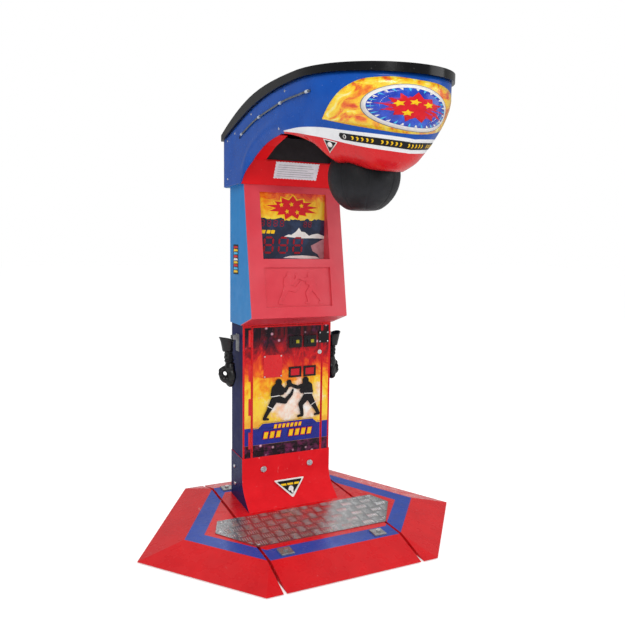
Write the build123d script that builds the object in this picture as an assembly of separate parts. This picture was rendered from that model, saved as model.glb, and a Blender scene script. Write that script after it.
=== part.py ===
from build123d import *
import os
from math import atan, cos, hypot, sin

# A boxing punch machine, in millimetres. The origin is on the floor, on the machine's centre
# plane, under the middle of the column. +X is the player's right, -Y faces the player, +Z is up.

# Base platform: a low six-sided frustum, split by two seams into a centre and two wings.
TOP_Z = 58
TOP_FRONT_Y = -706
TOP_BACK_Y = 185
TOP_SIDE_Y = -364
TOP_SIDE_X = 644
SEAM_X = 345
SEAM_GAP = 14
SKIRT_RUN = 203
SKIRT_CLEARANCE = 5
SHEET = 3
BAR = 40
FOOT_HEIGHT = 15
BAR_TOP = FOOT_HEIGHT + BAR
TREAD_THICKNESS = 4
ANCHOR_SIZE = 64
ANCHOR_THICKNESS = 8
BOLT_RADIUS = 6
BOLT_HOLE = 6.2
SCREW_RADIUS = 2.5
SCREW_HOLE = 2.75

# Column: a sheet casing around a square post, with a door in its front frame.
COLUMN_HALF = 257
COLUMN_FRONT = -90
COLUMN_BACK = 90
COLUMN_TOP = 1031
POST_HALF = 40
POST_Y = 35
POST_TOP = 1985
BOOT_TOP = 311
BOOT_BEND_Z = 205
BOOT_TOE_Y = -210
DOOR_HALF = 205
DOOR_LOW = 342
DOOR_HIGH = 1024
DOOR_GAP = 2
DOOR_FACE = 2.5
PAN_DEPTH = 15
COIN_CENTRES = (43, 131)
COIN_HALF = 37
RETURN_LOW = 740
RETURN_HIGH = 790
BLANK_LEFT = -140
BLANK_RIGHT = -33
BLANK_LOW = 743
BLANK_HIGH = 865

# Cabinet: a sheet case with a sloping front fascia.
CABINET_HALF = 267
CABINET_TOP = 1752
FASCIA_TOP_Y = -133.6
FASCIA_TIP_Y = -254.7
FASCIA_TIP_Z = 1083
FASCIA_SHEET = 5
WELL = (-225, 225, -70, 84)
WINDOW_HALF = 187
WINDOW_LOW = 1379
WINDOW_HIGH = 1717
PANEL_Y = -128
RECESS_HALF = 185
RECESS_LOW = 1137
RECESS_HIGH = 1337
RECESS_DEPTH = 10
SERVICE_HALF = 200
SERVICE_LOW = 1120
SERVICE_HIGH = 1680

# Hood: a boat-shaped shell that overhangs the player, with a lid and an open underside.
HOOD_HALF = 290
HOOD_BACK = 126
HOOD_LOW = 1752
NOSE_START = -833
NOSE_LENGTH = 435
HOOD_WALL = 5
LID_OVERHANG = 12
LID_GAP = 0.5
ARCH_END_Y = -640
WAIST_Z = 1917

# Punching arm and ball, hung on one cross shaft.
PIVOT_Y = -858
PIVOT_Z = 1970
SHAFT_RADIUS = 10
BALL_Z = 1733
BALL_RADIUS = 150
BALL_TOP = 1874
BALL_LOW = 1600
BALL_BORE = 8.3
COVER_WALL = 7
RUNNING_GAP = 0.05


# ---- shared shapes ----

def block(x0, x1, y0, y1, z0, z1):
    """A box between two opposite corners."""
    return Pos((x0 + x1) / 2, (y0 + y1) / 2, (z0 + z1) / 2) * Box(x1 - x0, y1 - y0, z1 - z0)


def rod(radius, start, end):
    """A cylinder between two points."""
    first = Vector(*start)
    run = Vector(*end) - first
    middle = first + run * 0.5
    return Plane(origin=middle, z_dir=run.normalized()) * Cylinder(radius, run.length)


def plan_prism(outline, z0, z1):
    """An (x, y) outline raised from z0 to z1."""
    return Pos(0, 0, z0) * extrude(make_face(Polyline(*outline, close=True)), z1 - z0)


def side_prism(outline, x0, x1):
    """A (y, z) outline, as points or as a face's edges, run across from x0 to x1."""
    edges = Polyline(*outline, close=True) if isinstance(outline, list) else outline
    return Pos(x0, 0, 0) * extrude(Plane.YZ * make_face(edges), x1 - x0, dir=(1, 0, 0))


def mirrored(shape):
    """A shape reflected in the centre plane."""
    return mirror(shape, about=Plane.YZ)


def both(shape):
    """A shape and its reflection in the centre plane."""
    return shape + mirrored(shape)


def grow(outline, distance):
    """A convex counter-clockwise outline with every edge moved outward."""
    lines = []
    for (ax, ay), (bx, by) in zip(outline, outline[1:] + outline[:1]):
        length = hypot(bx - ax, by - ay)
        nx, ny = (by - ay) / length, (ax - bx) / length
        lines.append((nx, ny, nx * ax + ny * ay + distance))
    corners = []
    for (a1, b1, c1), (a2, b2, c2) in zip(lines[-1:] + lines[:-1], lines):
        cross = a1 * b2 - a2 * b1
        corners.append(((c1 * b2 - c2 * b1) / cross, (a1 * c2 - a2 * c1) / cross))
    return corners


def sheet(points, thickness):
    """A bent sheet: an open (y, z) path and its copy offset to the right of travel."""
    lines = []
    for (ay, az), (by, bz) in zip(points, points[1:]):
        length = hypot(by - ay, bz - az)
        ny, nz = (bz - az) / length, (ay - by) / length
        lines.append((ny, nz, ny * ay + nz * az + thickness))
    first, last = lines[0], lines[-1]
    inner = [(points[0][0] + first[0] * thickness, points[0][1] + first[1] * thickness)]
    for (a1, b1, c1), (a2, b2, c2) in zip(lines, lines[1:]):
        cross = a1 * b2 - a2 * b1
        inner.append(((c1 * b2 - c2 * b1) / cross, (a1 * c2 - a2 * c1) / cross))
    inner.append((points[-1][0] + last[0] * thickness, points[-1][1] + last[1] * thickness))
    return list(points) + inner[::-1]


def screw(at, direction, head_radius, head_height, shank_radius, shank_length):
    """A round-headed screw whose head stands out of a face along direction."""
    out = Vector(*direction).normalized()
    seat = Vector(*at)
    head = rod(head_radius, tuple(seat), tuple(seat + out * head_height))
    crown = head.faces().sort_by(Axis(tuple(seat), tuple(out)))[-1].edges()
    head = fillet(crown, head_height * 0.6)
    return head + rod(shank_radius, tuple(seat - out * shank_length), tuple(seat))


# ---- base ----

TOP_OUTLINE = [
    (-SEAM_X, TOP_FRONT_Y), (SEAM_X, TOP_FRONT_Y), (TOP_SIDE_X, TOP_SIDE_Y),
    (SEAM_X, TOP_BACK_Y), (-SEAM_X, TOP_BACK_Y), (-TOP_SIDE_X, TOP_SIDE_Y),
]
TREAD_OUTLINE = [
    (-346, -568), (346, -568), (490, TOP_SIDE_Y), (445, -243), (-445, -243), (-490, TOP_SIDE_Y),
]
CENTRE_EDGE = SEAM_X - SEAM_GAP / 2
WING_EDGE = SEAM_X + SEAM_GAP / 2
WING_OUTLINE = [(WING_EDGE, TOP_FRONT_Y), (TOP_SIDE_X, TOP_SIDE_Y), (WING_EDGE, TOP_BACK_Y)]
TREAD_SCREWS = grow(TREAD_OUTLINE, -22)
ANCHORS = [(-245, -656), (245, -656), (-267, 150), (267, 150)]
SEAM_BOLT_YS = (-600, -300, 60)
SEAM_BOLT_Z = 32
FAR = 1200
FRAME_CLEAR = 3
WING_INSET = 12
FOOT_RADIUS = 22


def platform(drop):
    """The whole frustum, lowered by drop and cut off at the floor."""
    low = make_face(Polyline(*grow(TOP_OUTLINE, SKIRT_RUN), close=True))
    high = Pos(0, 0, TOP_Z) * make_face(Polyline(*TOP_OUTLINE, close=True))
    return Pos(0, 0, -drop) * loft([low, high], ruled=True)


def cover(x0, x1, seam_walls):
    """One painted steel cover, folded down at its seams and open underneath."""
    outside = platform(0) & block(x0, x1, -FAR, FAR, SKIRT_CLEARANCE, TOP_Z)
    left = SHEET if "left" in seam_walls else 0
    right = SHEET if "right" in seam_walls else 0
    hollow = platform(SHEET) & block(x0 + left, x1 - right, -FAR, FAR, 0, TOP_Z - SHEET)
    return outside - hollow


def top_holes(shape, centres, radius):
    """Cut vertical clearance holes through the top sheet."""
    for x, y in centres:
        shape -= rod(radius, (x, y, TOP_Z - SHEET - 1), (x, y, TOP_Z + TREAD_THICKNESS + 1))
    return shape


def seam_holes(shape):
    """Cut the cross holes for the bolts that join a wing to the centre."""
    for y in SEAM_BOLT_YS:
        shape -= both(rod(BOLT_HOLE, (CENTRE_EDGE - 14, y, SEAM_BOLT_Z), (WING_EDGE + 38, y, SEAM_BOLT_Z)))
    return shape


def base_cover_center():
    holes = top_holes(cover(-CENTRE_EDGE, CENTRE_EDGE, ("left", "right")), ANCHORS, BOLT_HOLE)
    return seam_holes(top_holes(holes, TREAD_SCREWS, SCREW_HOLE))


def wing_cover_right():
    return seam_holes(top_holes(cover(WING_EDGE, FAR, ("left",)), TREAD_SCREWS, SCREW_HOLE))


def wing_cover_left():
    return mirrored(wing_cover_right())


def channel(x0, x1, y0, y1):
    """A folded channel bar, open underneath."""
    inside = block(x0 + SHEET, x1 - SHEET, y0 + SHEET, y1 - SHEET, FOOT_HEIGHT, BAR_TOP - SHEET)
    return block(x0, x1, y0, y1, FOOT_HEIGHT, BAR_TOP) - inside


def base_frame_center():
    edge = CENTRE_EDGE - SHEET - FRAME_CLEAR
    low, high = TOP_FRONT_Y + 20, TOP_BACK_Y - 15
    frame = channel(edge - BAR, edge, low, high) + channel(-edge, BAR - edge, low, high)
    for y in (low, TOP_SIDE_Y - BAR / 2, -BAR / 2, high - BAR):
        frame += channel(-edge, edge, y, y + BAR)
    frame = seam_holes(frame)
    for x, y in ANCHORS:
        frame -= rod(BOLT_HOLE, (x, y, BAR_TOP - SHEET - 1), (x, y, BAR_TOP + 1))
    return frame


def wing_frame_right():
    outer = plan_prism(grow(WING_OUTLINE, -WING_INSET), FOOT_HEIGHT, BAR_TOP)
    hole = plan_prism(grow(WING_OUTLINE, -WING_INSET - BAR), FOOT_HEIGHT - 1, BAR_TOP + 1)
    trough = plan_prism(grow(WING_OUTLINE, -WING_INSET - SHEET), FOOT_HEIGHT - 1, BAR_TOP - SHEET)
    core = plan_prism(grow(WING_OUTLINE, -WING_INSET - BAR + SHEET), FOOT_HEIGHT - 1, BAR_TOP)
    return seam_holes(outer - hole - (trough - core))


def wing_frames():
    return both(wing_frame_right())


def leveling_feet():
    """Rubber glides under the corners of the three frames."""
    corners = [(312, TOP_FRONT_Y + 40), (312, TOP_BACK_Y - 35), (312, TOP_SIDE_Y)]
    corners += grow(WING_OUTLINE, -42)
    feet = Pos(0, 0, FOOT_HEIGHT / 2) * Cylinder(FOOT_RADIUS, FOOT_HEIGHT)
    for x, y in corners:
        pad = Pos(x, y, FOOT_HEIGHT / 2) * Cylinder(FOOT_RADIUS, FOOT_HEIGHT)
        feet += chamfer(pad.edges().group_by(Axis.Z)[0], 3)
    return both(feet)


def seam_bolts():
    """Hex bolts that tie each wing frame to the centre frame across the seam."""
    bolts = None
    inner = CENTRE_EDGE - SHEET - FRAME_CLEAR - SHEET
    outer = WING_EDGE + WING_INSET + SHEET
    for y in SEAM_BOLT_YS:
        shank = rod(BOLT_RADIUS, (inner, y, SEAM_BOLT_Z), (outer, y, SEAM_BOLT_Z))
        hexagon = Plane(origin=(inner, y, SEAM_BOLT_Z), z_dir=(-1, 0, 0)) * RegularPolygon(10, 6)
        nut = Plane(origin=(outer, y, SEAM_BOLT_Z), z_dir=(1, 0, 0)) * RegularPolygon(10, 6)
        bolt = shank + extrude(hexagon, 8) + extrude(nut, 10)
        bolts = bolt if bolts is None else bolts + bolt
    return both(bolts)


def tread_plate():
    return top_holes(plan_prism(TREAD_OUTLINE, TOP_Z, TOP_Z + TREAD_THICKNESS), TREAD_SCREWS, SCREW_HOLE)


def tread_screws():
    screws = None
    for x, y in TREAD_SCREWS:
        one = screw((x, y, TOP_Z + TREAD_THICKNESS), (0, 0, 1), 7, 3, SCREW_RADIUS,
                    TREAD_THICKNESS + 2.5)
        screws = one if screws is None else screws + one
    return screws


def anchor_plates():
    half = ANCHOR_SIZE / 2
    plates = None
    for x, y in ANCHORS:
        plate = block(x - half, x + half, y - half, y + half, TOP_Z, TOP_Z + ANCHOR_THICKNESS)
        plate = chamfer(plate.edges().group_by(Axis.Z)[-1], 2)
        plate -= rod(BOLT_HOLE, (x, y, TOP_Z - 1), (x, y, TOP_Z + ANCHOR_THICKNESS + 1))
        plates = plate if plates is None else plates + plate
    return plates


def anchor_bolts():
    """Hex bolts through the anchor plates, the cover and the frame's top wall."""
    bolts = None
    seat = TOP_Z + ANCHOR_THICKNESS
    for x, y in ANCHORS:
        head = Pos(x, y, seat) * extrude(RegularPolygon(12, 6), 9)
        bolt = head + rod(BOLT_RADIUS, (x, y, TOP_Z - 9), (x, y, seat))
        bolts = bolt if bolts is None else bolts + bolt
    return bolts


def base_fasteners():
    """The platform's bolts and screws, as separate solids."""
    return seam_bolts() + anchor_bolts() + tread_screws()


# ---- column ----

FRAME_OPENING = DOOR_HALF + DOOR_GAP
RETURN = 2
HINGE_RADIUS = 3
PIN_RADIUS = 1.5
DOOR_HINGE_X = -FRAME_OPENING
DOOR_HINGE_Y = COLUMN_FRONT - HINGE_RADIUS - 0.2
DOOR_HINGE_SPAN = (360, 1006)
SERVICE_HINGE_SPAN = (1140, 1660)
KNUCKLES = 7
LEAF_REACH = 18
LOCK_X = 191
LOCK_Z = 867
LOCK_RADIUS = 9.5
CAM_SHAFT_RADIUS = 6
SIDE_SHEET = 2
FRAME_LOCK = (-245, COLUMN_FRONT, 885)


def column_casing():
    """A folded sheet channel, open to the front."""
    outside = block(-COLUMN_HALF, COLUMN_HALF, COLUMN_FRONT + 4, COLUMN_BACK, TOP_Z, COLUMN_TOP)
    inside = block(SIDE_SHEET - COLUMN_HALF, COLUMN_HALF - SIDE_SHEET, COLUMN_FRONT,
                   COLUMN_BACK - SIDE_SHEET, TOP_Z - 1, COLUMN_TOP + 1)
    inlet = block(-175, -125, 0, COLUMN_BACK + 1, 137, 163)
    return outside - inside - inlet


def column_post():
    """The square tube that carries the cabinet and the hood, on its base plate."""
    wall = 4
    front, back = POST_Y - POST_HALF, POST_Y + POST_HALF
    foot = block(-110, 110, -60, 84, TOP_Z, TOP_Z + 8)
    tube = block(-POST_HALF, POST_HALF, front, back, TOP_Z + 8, POST_TOP)
    bore = block(wall - POST_HALF, POST_HALF - wall, front + wall, back - wall, 0, POST_TOP + 1)
    return foot + (tube - bore)


def column_front_frame():
    """The flat front with its door opening, folded back around the opening."""
    plate = block(-COLUMN_HALF, COLUMN_HALF, COLUMN_FRONT, COLUMN_FRONT + 4, TOP_Z, COLUMN_TOP)
    low, high = DOOR_LOW - DOOR_GAP, DOOR_HIGH + DOOR_GAP
    lip = block(-FRAME_OPENING - RETURN, FRAME_OPENING + RETURN, COLUMN_FRONT,
                COLUMN_FRONT + PAN_DEPTH, low - RETURN, high + RETURN)
    opening = block(-FRAME_OPENING, FRAME_OPENING, COLUMN_FRONT - 1,
                    COLUMN_FRONT + PAN_DEPTH + 1, low, high)
    return plate + lip - opening + frame_lock()


def frame_lock():
    """A small round lock boss in the frame beside the door."""
    x, y, z = FRAME_LOCK
    ring = rod(9, (x, y - 4, z), (x, y, z)) - rod(5, (x, y - 5, z), (x, y - 2.5, z))
    return ring - block(x - 0.8, x + 0.8, y - 2.6, y - 1, z - 4, z + 4)


def knuckle_bounds(low, high):
    """The z range of each hinge knuckle, with a small gap between neighbours."""
    step = (high - low) / KNUCKLES
    return [(low + step * i + 0.3, low + step * (i + 1) - 0.3) for i in range(KNUCKLES)]


def hinge_leaf(x, y, face_y, reach, low, high, first):
    """Every second knuckle of a long hinge, with its tab lying on a face."""
    leaf = None
    for z0, z1 in knuckle_bounds(low, high)[first::2]:
        near = face_y if face_y < y else face_y - 1
        tab = block(min(x, x + reach), max(x, x + reach), near, near + 1, z0, z1)
        knuckle = rod(HINGE_RADIUS, (x, y, z0), (x, y, z1)) + tab
        knuckle -= rod(PIN_RADIUS + RUNNING_GAP, (x, y, z0 - 1), (x, y, z1 + 1))
        leaf = knuckle if leaf is None else leaf + knuckle
    return leaf


def fixed_hinge_leaves():
    """The leaves on the column frame and on the cabinet's back."""
    door = hinge_leaf(DOOR_HINGE_X, DOOR_HINGE_Y, COLUMN_FRONT, -LEAF_REACH,
                      *DOOR_HINGE_SPAN, 0)
    return door + hinge_leaf(SERVICE_HINGE_X, SERVICE_HINGE_Y, COLUMN_BACK, -LEAF_REACH,
                             *SERVICE_HINGE_SPAN, 0)


def hinge_pins():
    """The long pins of the two door hinges."""
    pins = [rod(PIN_RADIUS, (x, y, low), (x, y, high)) for x, y, (low, high) in (
        (DOOR_HINGE_X, DOOR_HINGE_Y, DOOR_HINGE_SPAN),
        (SERVICE_HINGE_X, SERVICE_HINGE_Y, SERVICE_HINGE_SPAN),
    )]
    return pins[0] + pins[1]


def coin_door():
    """A shallow pan with openings for the coin slots, the coin returns and the lock."""
    back = COLUMN_FRONT + PAN_DEPTH
    pan = block(-DOOR_HALF, DOOR_HALF, COLUMN_FRONT, back, DOOR_LOW, DOOR_HIGH)
    pan -= block(2 - DOOR_HALF, DOOR_HALF - 2, COLUMN_FRONT + DOOR_FACE, back + 1,
                 DOOR_LOW + 2, DOOR_HIGH - 2)
    for x in COIN_CENTRES:
        pan -= block(x - 30, x + 30, COLUMN_FRONT - 1, COLUMN_FRONT + 5, 907, 956)
        pan -= block(x - 28.6, x + 28.6, COLUMN_FRONT - 1, COLUMN_FRONT + 5,
                     RETURN_LOW + 0.4, RETURN_HIGH - 0.4)
    pan -= rod(LOCK_RADIUS, (LOCK_X, COLUMN_FRONT - 1, LOCK_Z), (LOCK_X, COLUMN_FRONT + 5, LOCK_Z))
    return pan + hinge_leaf(DOOR_HINGE_X, DOOR_HINGE_Y, COLUMN_FRONT, LEAF_REACH,
                            *DOOR_HINGE_SPAN, 1)


def coin_slot_bezels():
    """Two black bezels, each with a coin slot and a square hole for its button."""
    bezels = None
    for x in COIN_CENTRES:
        bezel = block(x - COIN_HALF, x + COIN_HALF, COLUMN_FRONT - 8, COLUMN_FRONT, 900, 963)
        bezel = chamfer(bezel.faces().sort_by(Axis.Y)[0].edges(), 1.5)
        bezel -= block(x - 20.5, x - 17, COLUMN_FRONT - 9, COLUMN_FRONT + 1, 917, 947)
        bezel -= block(x + 1.9, x + 20.1, COLUMN_FRONT - 9, COLUMN_FRONT + 1, 922.9, 941.1)
        bezels = bezel if bezels is None else bezels + bezel
    return bezels


def reject_button(x):
    """A square push button with a flange that stops it behind the bezel."""
    cap = block(x + 2, x + 20, COLUMN_FRONT - 12, COLUMN_FRONT, 923, 941)
    cap = chamfer(cap.faces().sort_by(Axis.Y)[0].edges(), 1)
    return cap + block(x - 1, x + 23, COLUMN_FRONT, COLUMN_FRONT + 2, 920, 944)


def reject_button_left():
    return reject_button(COIN_CENTRES[0])


def reject_button_right():
    return reject_button(COIN_CENTRES[1])


def coin_mechs():
    """Two coin selectors on brackets behind the door, each with a coin path."""
    mechs = None
    for x in COIN_CENTRES:
        mech = block(x - 34, x + 34, COLUMN_FRONT + 8, COLUMN_FRONT + 60, 855, 962)
        mech += block(x - 20, x + 20, COLUMN_FRONT + DOOR_FACE, COLUMN_FRONT + 8, 957, 962)
        mech += block(x - 20, x + 20, COLUMN_FRONT + DOOR_FACE, COLUMN_FRONT + 8, 855, 860)
        mech -= block(x - 20.5, x - 17, COLUMN_FRONT + 7, COLUMN_FRONT + 50, 840, 947)
        mechs = mech if mechs is None else mechs + mech
    return mechs


FLAP_AXIS_Y = COLUMN_FRONT - 2.6
FLAP_AXIS_Z = 781
FLAP_HALF = 25.5
FLAP_BARREL = 2.5
FLAP_ROD = 1.5
ROD_HALF = 30


def coin_return_frames():
    """Two black frames with a cup behind each, bored for the flap's rod."""
    frames = None
    for x in COIN_CENTRES:
        frame = block(x - COIN_HALF, x + COIN_HALF, COLUMN_FRONT - 6, COLUMN_FRONT,
                      RETURN_LOW - 4, RETURN_HIGH + 4)
        frame = chamfer(frame.faces().sort_by(Axis.Y)[0].edges(), 1.5)
        frame += block(x - 28.5, x + 28.5, COLUMN_FRONT, COLUMN_FRONT + 48,
                       RETURN_LOW + 0.5, RETURN_HIGH - 0.5)
        frame -= block(x - 26.5, x + 26.5, COLUMN_FRONT - 7, COLUMN_FRONT + 46,
                       RETURN_LOW + 4, RETURN_HIGH - 4)
        frame -= rod(FLAP_ROD + RUNNING_GAP, (x - ROD_HALF - 0.5, FLAP_AXIS_Y, FLAP_AXIS_Z),
                     (x + ROD_HALF + 0.5, FLAP_AXIS_Y, FLAP_AXIS_Z))
        frames = frame if frames is None else frames + frame
    return frames


def coin_return_flap(x):
    """A red flap on a rod along its top edge."""
    plate = block(x - FLAP_HALF, x + FLAP_HALF, FLAP_AXIS_Y - FLAP_BARREL / 2,
                  FLAP_AXIS_Y + FLAP_BARREL / 2, RETURN_LOW + 6, FLAP_AXIS_Z)
    barrel = rod(FLAP_BARREL, (x - FLAP_HALF, FLAP_AXIS_Y, FLAP_AXIS_Z),
                 (x + FLAP_HALF, FLAP_AXIS_Y, FLAP_AXIS_Z))
    return plate + barrel + rod(FLAP_ROD, (x - ROD_HALF, FLAP_AXIS_Y, FLAP_AXIS_Z),
                                (x + ROD_HALF, FLAP_AXIS_Y, FLAP_AXIS_Z))


def coin_return_flap_left():
    return coin_return_flap(COIN_CENTRES[0])


def coin_return_flap_right():
    return coin_return_flap(COIN_CENTRES[1])


def blank_plate():
    """The square plate that covers an unused opening."""
    return block(BLANK_LEFT, BLANK_RIGHT, COLUMN_FRONT - 2, COLUMN_FRONT, BLANK_LOW, BLANK_HIGH)


def door_hasp():
    """A black angle fixed to the door that laps over the frame."""
    plate = block(182, 245, COLUMN_FRONT - 5, COLUMN_FRONT - 0.5, 918, 983)
    plate = fillet(plate.edges().filter_by(Axis.Y), 6)
    return plate + block(182, 203, COLUMN_FRONT - 0.5, COLUMN_FRONT, 924, 977)


def door_screws():
    """The small screws of the blank plate and the hasp."""
    rows = (BLANK_LOW + 6, BLANK_HIGH - 6)
    places = [(BLANK_LEFT + 6, COLUMN_FRONT - 2, z) for z in rows]
    places += [(BLANK_RIGHT - 6, COLUMN_FRONT - 2, z) for z in rows]
    places += [(x, COLUMN_FRONT - 5, z) for x in (190, 237) for z in (926, 975)]
    screws = None
    for x, y, z in places:
        head = rod(4.5, (x, y - 2.4, z), (x, y, z))
        head = fillet(head.faces().sort_by(Axis.Y)[0].edges(), 1.4)
        head -= block(x - 3.2, x + 3.2, y - 2.5, y - 1.7, z - 0.5, z + 0.5)
        screws = head if screws is None else screws + head
    return screws


def lock_body(x, face_y, z, out):
    """A lock barrel through a door, with a rim outside and a bore for its core."""
    barrel = rod(LOCK_RADIUS, (x, face_y, z), (x, face_y - out * 14, z))
    barrel += rod(12, (x, face_y + out * 2.5, z), (x, face_y, z))
    return barrel - rod(CAM_SHAFT_RADIUS + RUNNING_GAP, (x, face_y + out * 4, z),
                        (x, face_y - out * 15, z))


def lock_core(x, face_y, z, out):
    """The turning core with its key slot in front and its cam behind."""
    core = rod(CAM_SHAFT_RADIUS, (x, face_y + out * 3.5, z), (x, face_y - out * 16.5, z))
    core -= block(x - 0.8, x + 0.8, face_y + out * 2 - 2, face_y + out * 2 + 2, z - 4, z + 4)
    near, far = sorted((face_y - out * 16.5, face_y - out * 19))
    return core + block(x - 7, x + 7, near, far, z - 32, z + 8)


def door_lock_body():
    return lock_body(LOCK_X, COLUMN_FRONT, LOCK_Z, -1)


def door_lock_core():
    return lock_core(LOCK_X, COLUMN_FRONT, LOCK_Z, -1)


def coin_box():
    """The open cash box and the shelf it stands on."""
    shelf = block(SIDE_SHEET - COLUMN_HALF, COLUMN_HALF - SIDE_SHEET, -72, -6, 345, 347)
    box = block(-20, 185, -70, -8, 347, 520) - block(-18, 183, -68, -10, 349, 521)
    return shelf + box


def power_supply():
    """The power supply's case and the mains inlet in the column's back."""
    case = block(90, 240, 30, COLUMN_BACK - SIDE_SHEET, 120, 300)
    return chamfer(case.edges().filter_by(Axis.Z), 2) + power_inlet()


def power_inlet():
    """A mains inlet through the casing's back, with its flange outside."""
    flange = block(-180, -120, COLUMN_BACK, COLUMN_BACK + 4, 132, 168)
    body = block(-174.5, -125.5, COLUMN_BACK - 24, COLUMN_BACK, 137.5, 162.5)
    return flange + body - block(-162, -138, COLUMN_BACK - 14, COLUMN_BACK + 5, 142, 158)


# ---- boot around the foot of the column ----

BOOT_SHEET = 3
BOOT_CLEAR = 0.4


def boot_profile(inset):
    """The flared side outline, moved inward by inset on its front."""
    front, back = COLUMN_FRONT - BOOT_CLEAR - BOOT_SHEET + inset, COLUMN_BACK
    toe, top = BOOT_TOE_Y + inset, BOOT_TOP + inset
    bend = BOOT_BEND_Z - inset * 0.4
    edges = Polyline((front, bend), (front, top), (back, top), (back, TOP_Z), (toe, TOP_Z))
    flare = Spline((toe, TOP_Z), (-157, 96), (front, bend), tangents=((0.88, 0.48), (0, 1)))
    if inset:
        flare = Spline((toe, TOP_Z), (-157 + inset, 96 - inset * 0.7), (front, bend),
                       tangents=((0.88, 0.48), (0, 1)))
    return edges + flare


def column_boot():
    """The sleeve around the column's foot, flared out in front."""
    half = COLUMN_HALF + BOOT_CLEAR + BOOT_SHEET
    outside = side_prism(boot_profile(0), -half, half)
    hollow = side_prism(boot_profile(BOOT_SHEET), BOOT_SHEET - half, half - BOOT_SHEET)
    inner = COLUMN_HALF + BOOT_CLEAR
    return outside - hollow - block(-inner, inner, COLUMN_FRONT - BOOT_CLEAR, COLUMN_BACK + 1,
                                    TOP_Z - 1, BOOT_TOP + 9)


def boot_side_bolts():
    """Domed bolts in the boot's sides."""
    half = COLUMN_HALF + BOOT_CLEAR + BOOT_SHEET
    bolts = None
    for y, z in ((28, 235), (17, 140)):
        dome = rod(10, (half, y, z), (half + 6, y, z))
        dome = fillet(dome.faces().sort_by(Axis.X)[-1].edges(), 4)
        bolts = dome if bolts is None else bolts + dome
    return both(bolts)


def boot_caps():
    """Two large domed caps on the boot's front."""
    face = COLUMN_FRONT - BOOT_CLEAR - BOOT_SHEET
    cap = rod(18.5, (138, face - 7, 240), (138, face, 240))
    return both(fillet(cap.faces().sort_by(Axis.Y)[0].edges(), 5.5))


def boot_bolts():
    """All the bolts that hold the boot, as separate solids."""
    return boot_side_bolts() + boot_caps()


# ---- gloves on their hangers ----

GLOVE_AXIS_X = 283
GLOVE_AXIS_Z = 960
GLOVE_Y = -10
HANGER_ROD = 4


def glove_hanger_right():
    """A plate with two ears that hold a short rod."""
    plate = block(COLUMN_HALF, COLUMN_HALF + 3, GLOVE_Y - 24, GLOVE_Y + 24, 885, 976)
    ears = block(COLUMN_HALF + 3, GLOVE_AXIS_X + 8, GLOVE_Y + 18, GLOVE_Y + 21, 950, 970)
    ears += block(COLUMN_HALF + 3, GLOVE_AXIS_X + 8, GLOVE_Y - 21, GLOVE_Y - 18, 950, 970)
    return plate + ears + rod(HANGER_ROD, (GLOVE_AXIS_X, GLOVE_Y - 20, GLOVE_AXIS_Z),
                              (GLOVE_AXIS_X, GLOVE_Y + 20, GLOVE_AXIS_Z))


def glove_right():
    """A padded glove hung by a loop, as one plain closed solid."""
    x = GLOVE_AXIS_X + 29
    loop = rod(8, (GLOVE_AXIS_X, GLOVE_Y - 14, GLOVE_AXIS_Z), (GLOVE_AXIS_X, GLOVE_Y + 14, GLOVE_AXIS_Z))
    strap = block(GLOVE_AXIS_X - 4, GLOVE_AXIS_X + 8, GLOVE_Y - 14, GLOVE_Y + 14, 900, GLOVE_AXIS_Z)
    wrist = Pos(x - 2, GLOVE_Y, 0) * loft([
        Pos(0, 0, 925) * Ellipse(34, 46).face(),
        Pos(0, 0, 830) * Ellipse(28, 38).face(),
    ])
    fist = Pos(x + 4, GLOVE_Y, 762) * scale(Sphere(1), by=(46, 56, 78))
    glove = loop + strap + wrist + fist
    return glove - rod(HANGER_ROD + RUNNING_GAP, (GLOVE_AXIS_X, GLOVE_Y - 15, GLOVE_AXIS_Z),
                       (GLOVE_AXIS_X, GLOVE_Y + 15, GLOVE_AXIS_Z))


def glove_left():
    return mirrored(glove_right())


def glove_hangers():
    return both(glove_hanger_right())


# ---- cabinet ----

SERVICE_HINGE_X = -SERVICE_HALF - DOOR_GAP
SERVICE_HINGE_Y = COLUMN_BACK + HINGE_RADIUS + 0.2
SERVICE_PAN = 10
SERVICE_LOCK_X = 182
SERVICE_LOCK_Z = 1400
CASE_SHEET = 2.5
FASCIA_LEAN = (FASCIA_TOP_Y - FASCIA_TIP_Y) / (CABINET_TOP - FASCIA_TIP_Z)
CABINET_PROFILE = [
    (COLUMN_BACK, COLUMN_TOP), (COLUMN_BACK, CABINET_TOP), (FASCIA_TOP_Y, CABINET_TOP),
    (FASCIA_TIP_Y, FASCIA_TIP_Z), (COLUMN_FRONT, COLUMN_TOP),
]
FASCIA_PATH = [CABINET_PROFILE[4], CABINET_PROFILE[3], CABINET_PROFILE[2]]


def fascia_y(z):
    """How far forward the fascia's face is at height z."""
    return FASCIA_TOP_Y - FASCIA_LEAN * (CABINET_TOP - z)


def fascia_slab(half, low, high, front, back):
    """A slab parallel to the fascia, between two offsets behind its face."""
    return side_prism([
        (fascia_y(low) + front, low), (fascia_y(low) + back, low),
        (fascia_y(high) + back, high), (fascia_y(high) + front, high),
    ], -half, half)


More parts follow.
